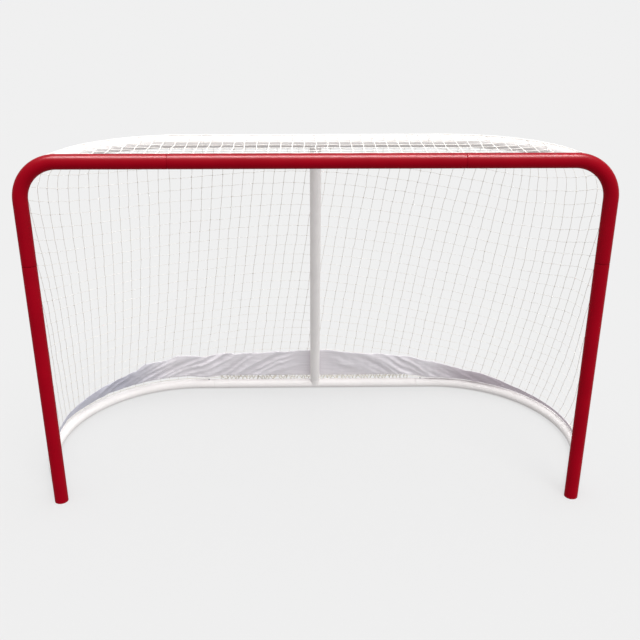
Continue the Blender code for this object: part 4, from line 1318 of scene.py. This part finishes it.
def roof_net(mesh_width, mesh_depth):
    """Square mesh between the crossbar and the top rail, trimmed by the rail's curve."""
    lattice = Lattice()
    front_z = BAR_HEIGHT + FRONT_CORD_RISE
    rim = [top_place(along, ROOF_TILT) for along in np.linspace(0, TOP_RAIL.length - 0.03, 120)]
    columns = int(ROOF_HALF / mesh_width)
    grid = {}

    def rear(x):
        """Depth and height of the net's edge on the rail at the distance x from the middle."""
        for near, far in zip(rim, rim[1:]):
            if near.x <= abs(x) <= far.x:
                return near.lerp(far, (abs(x) - near.x) / max(far.x - near.x, 1e-6))
        return None

    last = {}
    for column in range(-columns, columns + 1):
        x = column * mesh_width
        edge = rear(x)
        if edge is None:
            continue
        length = edge.y - FRONT_CORD_Y
        rows = max(int(length / mesh_depth + 0.4), 1)
        for row in range(rows + 1):
            share = min(row * mesh_depth / length, 1) if row < rows else 1
            z = front_z + (edge.z - front_z) * share
            sag = ROOF_SAG * math.sin(math.pi * share) * (length / 0.37) ** 2
            inner = 0 < row < rows
            dx = noise.noise(Vector((column * 0.6, row * 0.7, 3.0))) * 0.16 * mesh_width * inner
            dy = noise.noise(Vector((column * 0.5, row * 0.6, 9.0))) * 0.16 * mesh_depth * inner
            point = Vector((x + dx, FRONT_CORD_Y + length * share + dy, z - sag))
            grid[column, row] = lattice.knot(point, inner, UP, ROOF_SHARE)
        last[column] = rows
    for (column, row), here in grid.items():
        if row:
            lattice.cord(here, grid[column, row - 1])
        if column + 1 in last:
            lattice.cord(here, grid[column + 1, min(row, last[column + 1])])
        if column - 1 in last and last[column - 1] > last[column] and row == last[column]:
            for extra in range(row + 1, last[column - 1] + 1):
                lattice.cord(here, grid[column - 1, extra])
    return lattice


def net_piece(name, lattice, settings, material, nodes):
    """Twine and knots along a lattice."""
    knot = knot_shape(material)
    obj = link(name, lattice.mesh(name))
    apply_tree(obj, TREES["netting"], {
        "Twine radius": settings.twine / 2, "Sides": 6, "Slack": settings.slack, "Knot": knot,
        "Knot size": settings.knot / 2, "Seed": settings.seed, "Material": material})
    drop(knot)
    return finished(obj, "frame", "net_cord", *nodes)


def border_cords(material):
    """Cord that runs through the net's edge: behind the red frame and along both rails."""
    bar = [(x, FRONT_CORD_Y, BAR_HEIGHT + FRONT_CORD_RISE)
           for x in np.linspace(-ROOF_HALF, ROOF_HALF, 60)]
    end = TOP_RAIL.length - FRONT_BORDER
    rim = [top_place(float(along), TOP_CORD_TILT) for along in np.linspace(-end, end, 160)]
    half = NET.half(1)
    edge = [NET.place(-NET.half(down), down) for down in np.linspace(0.03, 1, 40)]
    edge += [base_place(float(along)) for along in np.linspace(-half, half, 220)]
    edge += [NET.place(NET.half(down), down) for down in np.linspace(1, 0.03, 40)]
    routes = [bar, rim, edge] + [corner_coil(side) for side in SIDES.values()]
    return merge(*[sweep("cord", route, CORD_HALF, 8, material) for route in routes])


def corner_coil(side):
    """Loose end of the border cord, wound round it where the skirt stops."""
    points = []
    turns, parts = 7, 14
    for step in range(turns * parts + 1):
        share = step / (turns * parts)
        place = side * (1.295 + 0.090 * share)
        heading = (base_place(place + side * 0.004) - base_place(place)).normalized()
        up = heading.cross(RIGHT).normalized()
        angle = 2 * math.pi * step / parts
        loose = noise.noise(Vector((step * 0.11, side * 5.0, 3.0)))
        reach = (2 * CORD_HALF + 0.0004) + 0.0035 * (1 + loose)
        points.append(base_place(place) + reach * (up * math.cos(angle)
                                               + heading.cross(up) * math.sin(angle)))
    return points


# Lacing and skirt


def lacing_piece(settings, material):
    """Cord wound round the lacing bar and the net's bottom cord, flatter behind the post."""
    count = settings.turns * LACING_STEPS
    points = []
    for step in range(count + 1):
        turn = step / LACING_STEPS
        angle = 2 * math.pi * step / LACING_STEPS - math.pi / 2
        x = NET_BASE_HALF * (2 * step / count - 1)
        wobble = noise.noise(Vector((turn * 0.9, 3.0, 1.0)))
        loop = settings.loop * (1 + 0.16 * wobble)
        behind = math.exp(-(x / LACING_FLAT_HALF) ** 4)
        loop = loop * (1 - behind) + LACING_FLAT_LOOP * behind
        lean = 0.020 * noise.noise(Vector((turn * 0.7, 9.0, 1.0)))
        x += 0.006 * noise.noise(Vector((turn * 1.3, 5.0, 2.0))) * (1 - behind)
        height = settings.rise * (1 + 0.30 * noise.noise(Vector((turn * 1.1, 6.0, 7.0))))
        tall = 1 + (height / settings.loop - 1) * (1 - behind)
        ring = POST_REAR * math.cos(angle) + POST_ALONG * (tall * math.sin(angle))
        centre = POST_FOOT + LOOP_OFFSET + POST_ALONG * (loop * (tall - 1))
        points.append(centre + RIGHT * (x + lean * math.sin(angle)) + ring * loop)
    points.insert(0, points[0] - RIGHT * LACING_END)
    points.append(points[-1] + RIGHT * LACING_END)
    piece = sweep("lacing_cord_run", points, settings.cord / 2, 8, material)
    shade(piece, 80)
    return finished(piece, "frame", "lacing_cord", "base_lacing")


def skirt_height(along, settings):
    """Height of the cloth at a distance along the base rail."""
    return between(SKIRT_TOP, along) * settings.height / SKIRT_FULL


def skirt_sag(along):
    """Dip of the top edge between two ties, none at a tie."""
    near = min(abs(along - tie) for tie in SKIRT_TIES)
    return min(near / 0.05, 1.0) ** 0.7


def skirt_foot(along):
    """Bottom edge of the skirt, above the lacing at the back and the rail at the sides."""
    point, normal = BASE_RAIL.place(along)
    blend = smooth_step((abs(along) - NET_BASE_HALF + 0.01) / 0.11)
    post_side = REAR_RADIUS + SKIRT_POST_GAP + SOLID_SKIRT / 2
    away = LOOP_OFFSET.dot(POST_REAR) - post_side
    clear = math.sqrt((SOLID_LOOP + SOLID_CORD + SKIRT_LACING_GAP) ** 2 - away ** 2)
    back = POST_REAR * post_side + POST_ALONG * (LOOP_OFFSET.dot(POST_ALONG) + clear + 0.011)
    lift = 0.015 * smooth_step((-along - 0.45) / 0.15) * smooth_step((1.34 + along) / 0.12)
    out = back.y * (1 - blend) + 2 * SOLID_SKIRT * blend
    rise = back.z * (1 - blend) + (REAR_RADIUS + SKIRT_RAIL_GAP + lift) * blend
    return point + normal * out + UP * rise, normal


def skirt_fold(along, level, height):
    """Depth of the cloth's wrinkles: slanting pulls, flatter towards the middle, and creases."""
    high = level * height
    slope = FOLD_SLOPE * min(max(-along / FOLD_SLOPE_FULL, -1), 1)
    across = (high - slope * along) / FOLD_WIDTH
    lengthwise = (along + slope * high) * 2.6
    pull = 1 - 2 * abs(noise.noise(Vector((across, lengthwise, 2.0))))
    wide = noise.noise(Vector((across * 0.45, lengthwise * 0.8, 8.0)))
    fine = noise.noise(Vector((across * 2.3, lengthwise * 3.0, 5.0)))
    crumple = noise.noise(Vector((along * 42.0, high * 42.0, 1.0)))
    calm = 1 - 0.35 * smooth_step((along + 0.1) / 0.4)
    return (0.36 * pull + 0.55 * wide + 0.16 * fine) * calm + 0.08 * crumple


def skirt_piece(settings, material):
    """Strip of cloth inside the foot of the net, tied to it along the top edge."""
    end = BASE_RAIL.length - SKIRT_END
    columns, rows = 720, 28
    verts = []
    coords = []
    for column in range(columns + 1):
        along = end * (2 * column / columns - 1)
        foot, normal = skirt_foot(along)
        rise = (TOP_RAIL.place(NET.feet(along, 1)[0])[0] - BASE_RAIL.place(along)[0]).normalized()
        full = skirt_height(along, settings)
        fray = 1 + 0.03 * noise.noise(Vector((along * 26.0, 3.0, 6.0)))
        height = full * fray * (1 - settings.scallop * skirt_sag(along))
        clear = smooth_step((abs(along) / 0.05 - 1) / 2)
        depth = settings.fold * min(full / 0.10, 1.0)
        for row in range(rows + 1):
            level = row / rows
            held = min(level / 0.10, 1.0) * (1 - 0.45 * level ** 4)
            inward = depth * (skirt_fold(along, level, full) + 0.45) * held * clear
            verts.append(foot + rise * height * level - normal * max(inward, 0.0))
            coords.append((along, full * level))
    faces = []
    for column in range(columns):
        for row in range(rows):
            corner = column * (rows + 1) + row
            faces.append((corner, corner + rows + 1, corner + rows + 2, corner + 1))
    mesh = bpy.data.meshes.new("skirt")
    mesh.from_pydata([tuple(vert) for vert in verts], [], faces)
    layer = mesh.uv_layers.new(name="UVMap")
    for loop in mesh.loops:
        layer.data[loop.index].uv = coords[loop.vertex_index]
    mesh.materials.append(material)
    piece = link("skirt_cloth_strip", mesh)
    piece.data.shade_smooth()
    cloth = piece.modifiers.new("thickness", "SOLIDIFY")
    cloth.thickness = SKIRT_THICK
    cloth.offset = 0
    bake(piece)
    finished(piece, "frame", "skirt_cloth", "skirt")
    return piece


# Settings


class GoalFrameSettings(bpy.types.PropertyGroup):
    """Finishes of the steel frame."""

    red: FloatVectorProperty(name="Red", description="Powder coat of the front frame",
                             subtype="COLOR", default=(0.325, 0.0003, 0.0085))
    white: FloatVectorProperty(name="White", description="Powder coat of the rear rails",
                               subtype="COLOR", default=(0.89, 0.86, 0.85))
    gloss: FloatProperty(name="Roughness", description="Roughness of the powder coat",
                         default=0.34, min=0.1, max=0.9)


class GoalNetSettings(bpy.types.PropertyGroup):
    """Sizes and colour of the net."""

    uneven: FloatProperty(name="Unevenness", description="How far a knot strays",
                          default=0.003, unit="LENGTH")
    twine: FloatProperty(name="Twine", description="Diameter of the twine", default=0.0016,
                         unit="LENGTH")
    knot: FloatProperty(name="Knot", description="Width of a knot", default=0.0058,
                        unit="LENGTH")
    slack: FloatProperty(name="Slack", description="How far a cord strays at its middle",
                         default=0.0012, unit="LENGTH")
    seed: IntProperty(name="Seed", description="Seed of the knots and slack", default=11)
    colour: FloatVectorProperty(name="Twine colour", description="Colour of the net",
                                subtype="COLOR", default=(0.93, 0.895, 0.85))


class GoalLacingSettings(bpy.types.PropertyGroup):
    """Sizes and colour of the lacing."""

    turns: IntProperty(name="Turns", description="Loops along the lacing bar", default=51)
    loop: FloatProperty(name="Loop radius", description="Radius of a loop", default=0.0078,
                        unit="LENGTH")
    rise: FloatProperty(name="Loop height", description="Half the height of a loop",
                        default=0.0125, unit="LENGTH")
    cord: FloatProperty(name="Cord", description="Diameter of the lacing", default=0.0042,
                        unit="LENGTH")
    colour: FloatVectorProperty(name="Lacing colour", description="Colour of the lacing",
                                subtype="COLOR", default=(0.98, 0.95, 0.87))


class GoalSkirtSettings(bpy.types.PropertyGroup):
    """Sizes and colour of the skirt."""

    height: FloatProperty(name="Height", description="Height of the cloth at the back",
                          default=0.200, unit="LENGTH")
    fold: FloatProperty(name="Fold depth", description="Depth of the wrinkles",
                        default=0.026, unit="LENGTH")
    scallop: FloatProperty(name="Scallop", description="Sag of the top edge between ties",
                           default=0.04)
    colour: FloatVectorProperty(name="Cloth colour", description="Colour of the cloth",
                                subtype="COLOR", default=(0.93, 0.89, 0.935))


class GoalStageSettings(bpy.types.PropertyGroup):
    """Floor, light and camera."""

    floor: FloatVectorProperty(name="Floor", description="Colour of the studio floor",
                               subtype="COLOR", default=(0.17, 0.17, 0.17))
    glow: FloatProperty(name="Floor glow", description="Light from inside the studio floor",
                        default=0.601)
    ambient: FloatProperty(name="Walls", description="Brightness of the studio's walls",
                           default=0.76)
    ground: FloatProperty(name="Ground", description="Brightness below the floor's level",
                          default=0.42)
    sideways: FloatProperty(name="Sideways", description="How much brighter the right wall is",
                            default=0.28)
    ceiling: FloatProperty(name="Ceiling", description="Brightness of the studio's ceiling",
                           default=2.30)
    key: FloatProperty(name="Key light", description="Power of the overhead light",
                       default=620.0, unit="POWER")
    window: FloatProperty(name="Window", description="Strength of the soft side light",
                          default=1.15)
    focal: FloatProperty(name="Focal length", description="In 640ths of the picture's width",
                         default=821.2)


GROUPS = {
    "goal_frame": GoalFrameSettings,
    "goal_net": GoalNetSettings,
    "goal_lacing": GoalLacingSettings,
    "goal_skirt": GoalSkirtSettings,
    "goal_stage": GoalStageSettings,
}


def paints(scene):
    """The frame's two powder coats, made once."""
    settings = scene.goal_frame
    if "red" not in MATERIALS:
        MATERIALS["red"] = powder_coat("red powder coat", tuple(settings.red), settings.gloss,
                                       0.88)
        MATERIALS["white"] = powder_coat("white powder coat", tuple(settings.white),
                                         settings.gloss + 0.06, 0.96)
    return MATERIALS["red"], MATERIALS["white"]


# Operators and panel


class GOAL_OT_front_frame(bpy.types.Operator):
    """Build the crossbar, the corners and the posts"""

    bl_idname = "goal.front_frame"
    bl_label = "Front frame"

    def execute(self, context):
        red = paints(context.scene)[0]
        crossbar_piece(red)
        for label, side in SIDES.items():
            corner_piece(label, side, red)
            post_piece(label, side, red)
        return {"FINISHED"}


class GOAL_OT_rear_rails(bpy.types.Operator):
    """Build the base rail, the top rail and the centre post"""

    bl_idname = "goal.rear_rails"
    bl_label = "Rear rails"

    def execute(self, context):
        white = paints(context.scene)[1]
        for label, side in SIDES.items():
            side_rail_piece("base", label, side, BASE_RAIL, BASE_SEAM, BASE_STUB, white)
            side_rail_piece("top", label, side, TOP_RAIL, TOP_SEAM, TOP_STUB, white)
        middle_rail_piece("base", BASE_RAIL, BASE_SEAM, POST_ALONG, white)
        middle_rail_piece("top", TOP_RAIL, TOP_SEAM, -POST_ALONG, white)
        centre_post_piece(white)
        return {"FINISHED"}


class GOAL_OT_snap_buttons(bpy.types.Operator):
    """Build the snap buttons and their leaf springs"""

    bl_idname = "goal.snap_buttons"
    bl_label = "Snap buttons"

    def execute(self, context):
        zinc = metal_material("zinc plate", (0.42, 0.42, 0.43), 0.38)
        steel = metal_material("spring steel", (0.22, 0.22, 0.23), 0.35)
        for name, site in SITES.items():
            button_piece(name, site, zinc)
            leaf_piece(name, site, steel)
        return {"FINISHED"}


class GOAL_OT_foot_plugs(bpy.types.Operator):
    """Build the plugs in the feet of the posts"""

    bl_idname = "goal.foot_plugs"
    bl_label = "Foot plugs"

    def execute(self, context):
        plastic = plastic_material("black plastic", (0.03, 0.03, 0.032))
        for label, side in SIDES.items():
            plug_piece(label, side, plastic)
        return {"FINISHED"}


class GOAL_OT_net(bpy.types.Operator):
    """Build the net and its border cords"""

    bl_idname = "goal.net"
    bl_label = "Net"

    def execute(self, context):
        settings = context.scene.goal_net
        material = twine_material("net twine", tuple(settings.colour), 0.004, 0.80)
        hanging = hanging_net(settings)
        panels = ["net_%s_%s" % (name, label) for name in ("corner", "quarter", "side", "edge")
                  for label in SIDES]
        net_piece("hanging_net", hanging, settings, material, ["net_back"] + panels)
        roof = roof_net(*ROOF_MESH)
        net_piece("roof_net", roof, settings, material, ["net_top"])
        cords = border_cords(material)
        cords.name = "border_cords"
        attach(cords, "frame")
        return {"FINISHED"}


class GOAL_OT_lacing(bpy.types.Operator):
    """Wind the lacing along the base rail"""

    bl_idname = "goal.lacing"
    bl_label = "Lacing"

    def execute(self, context):
        settings = context.scene.goal_lacing
        material = twine_material("lacing cord", tuple(settings.colour), 0.006, 0.6)
        lacing_piece(settings, material)
        return {"FINISHED"}


class GOAL_OT_skirt(bpy.types.Operator):
    """Hang the cloth skirt inside the net"""

    bl_idname = "goal.skirt"
    bl_label = "Skirt"

    def execute(self, context):
        settings = context.scene.goal_skirt
        skirt_piece(settings, cloth_material("skirt cloth", tuple(settings.colour)))
        return {"FINISHED"}


def studio_floor(settings):
    """Wide pale floor that glows a little and throws no colour on the goal."""
    corners = [(x * FLOOR_HALF, y * FLOOR_HALF, 0)
               for x, y in ((-1, -1), (1, -1), (1, 1), (-1, 1))]
    mesh = bpy.data.meshes.new("studio_floor")
    mesh.from_pydata(corners, [], [(0, 1, 2, 3)])
    material, _, shader = new_material("studio floor")
    shader.inputs["Base Color"].default_value = (*settings.floor, 1)
    shader.inputs["Roughness"].default_value = 0.9
    shader.inputs["Specular IOR Level"].default_value = 0.0
    shader.inputs["Emission Color"].default_value = (1, 1, 1, 1)
    shader.inputs["Emission Strength"].default_value = settings.glow
    mesh.materials.append(material)
    floor = link("studio_floor", mesh)
    floor.location.z = -0.0005
    floor.visible_diffuse = False
    floor.visible_glossy = False


def studio_walls(settings):
    """World that is brighter overhead and to the right, and darker below the floor's level."""
    world = bpy.data.worlds.new("studio air")
    world.use_nodes = True
    air = Tree(world.node_tree)
    where = air.add("ShaderNodeTexCoord")
    split = air.add("ShaderNodeSeparateXYZ", {0: where.outputs["Generated"]})
    ceiling = air.add("ShaderNodeMapRange", {
        "Value": split.outputs[2], "From Min": 0.60, "From Max": 1.0,
        "To Min": settings.ambient, "To Max": settings.ceiling})
    below = air.add("ShaderNodeMapRange", {
        "Value": split.outputs[2], "From Min": -0.6, "From Max": 0.1,
        "To Min": settings.ground, "To Max": settings.ambient})
    strength = air.add("ShaderNodeMath", {0: ceiling.outputs[0], 1: below.outputs[0]},
                       operation="ADD")
    even = air.add("ShaderNodeMath", {0: strength.outputs[0], 1: settings.ambient},
                   operation="SUBTRACT")
    sideways = air.add("ShaderNodeMapRange", {
        "Value": split.outputs[0], "From Min": -1.0, "From Max": 1.0,
        "To Min": 1 - settings.sideways, "To Max": 1 + settings.sideways})
    level = air.add("ShaderNodeMath", {0: even.outputs[0], 1: sideways.outputs[0]},
                    operation="MULTIPLY")
    background = world.node_tree.nodes["Background"]
    world.node_tree.links.new(level.outputs[0], background.inputs["Strength"])
    background.inputs["Color"].default_value = (1, 1, 1, 1)
    bpy.context.scene.world = world


def place_in_scene(name, data, place, turn):
    """New light or camera at a place, turned by the angles."""
    obj = bpy.data.objects.new(name, data)
    bpy.context.scene.collection.objects.link(obj)
    obj.location = place
    obj.rotation_euler = turn
    return obj


def studio_lights(settings):
    """Long lamp above the crossbar, and a soft window from the front right."""
    lamp = bpy.data.lights.new("overhead strip", "AREA")
    lamp.shape = "RECTANGLE"
    lamp.size = 2.6
    lamp.size_y = 0.35
    lamp.energy = settings.key
    place = Vector((0, GOAL_LINE - 0.15, 2.35))
    aim = (Vector((0, GOAL_LINE, 0)) - place).to_track_quat("-Z", "Y").to_euler()
    strip = place_in_scene("overhead strip", lamp, place, aim)
    strip.visible_camera = False
    strip.visible_diffuse = False
    sun = bpy.data.lights.new("window", "SUN")
    sun.energy = settings.window
    sun.angle = math.radians(25)
    place_in_scene("window", sun, (0, 0, 0), (math.radians(37), 0, math.radians(22)))


def studio_camera(settings):
    """Camera at the photograph's viewing angle."""
    camera = bpy.data.cameras.new("camera")
    camera.lens = settings.focal / PICTURE_WIDTH * SENSOR_WIDTH
    camera.sensor_width = SENSOR_WIDTH
    turn = (math.radians(90 - CAMERA_TILT), math.radians(-CAMERA_ROLL),
            math.radians(-CAMERA_TURN))
    place = CAMERA_PLACE + BACK * GOAL_LINE
    bpy.context.scene.camera = place_in_scene("camera", camera, place, turn)


class GOAL_OT_stage(bpy.types.Operator):
    """Set up the floor, the lights and the camera"""

    bl_idname = "goal.stage"
    bl_label = "Stage"

    def execute(self, context):
        settings = context.scene.goal_stage
        studio_floor(settings)
        studio_walls(settings)
        studio_lights(settings)
        studio_camera(settings)
        context.scene.view_settings.view_transform = "Standard"
        return {"FINISHED"}


OPERATORS = (GOAL_OT_front_frame, GOAL_OT_rear_rails, GOAL_OT_snap_buttons, GOAL_OT_foot_plugs,
             GOAL_OT_net, GOAL_OT_lacing, GOAL_OT_skirt, GOAL_OT_stage)


class GOAL_PT_panel(bpy.types.Panel):
    """Lists the goal's settings and its pieces"""

    bl_idname = "GOAL_PT_panel"
    bl_label = "Street hockey goal"
    bl_space_type = "VIEW_3D"
    bl_region_type = "UI"
    bl_category = "Goal"

    def draw(self, context):
        for name, group in GROUPS.items():
            settings = getattr(context.scene, name)
            box = self.layout.box()
            for field in group.__annotations__:
                box.prop(settings, field)
        for operator in OPERATORS:
            self.layout.operator(operator.bl_idname)


def register():
    """Add the settings, the operators and the panel."""
    for group in GROUPS.values():
        bpy.utils.register_class(group)
    for name, group in GROUPS.items():
        setattr(bpy.types.Scene, name, bpy.props.PointerProperty(type=group))
    for operator in OPERATORS:
        bpy.utils.register_class(operator)
    bpy.utils.register_class(GOAL_PT_panel)


def unregister():
    """Take them away again, in the other order."""
    bpy.utils.unregister_class(GOAL_PT_panel)
    for operator in reversed(OPERATORS):
        bpy.utils.unregister_class(operator)
    for name, group in GROUPS.items():
        delattr(bpy.types.Scene, name)
        bpy.utils.unregister_class(group)


def main():
    """Build the whole goal and its stage."""
    register()
    TREES["sweep"] = sweep_tree()
    TREES["netting"] = netting_tree()
    TREES["hooks"] = hooks_tree()
    for operator in OPERATORS:
        getattr(bpy.ops.goal, operator.bl_idname.split(".")[1])()


if __name__ == "__main__":
    main()
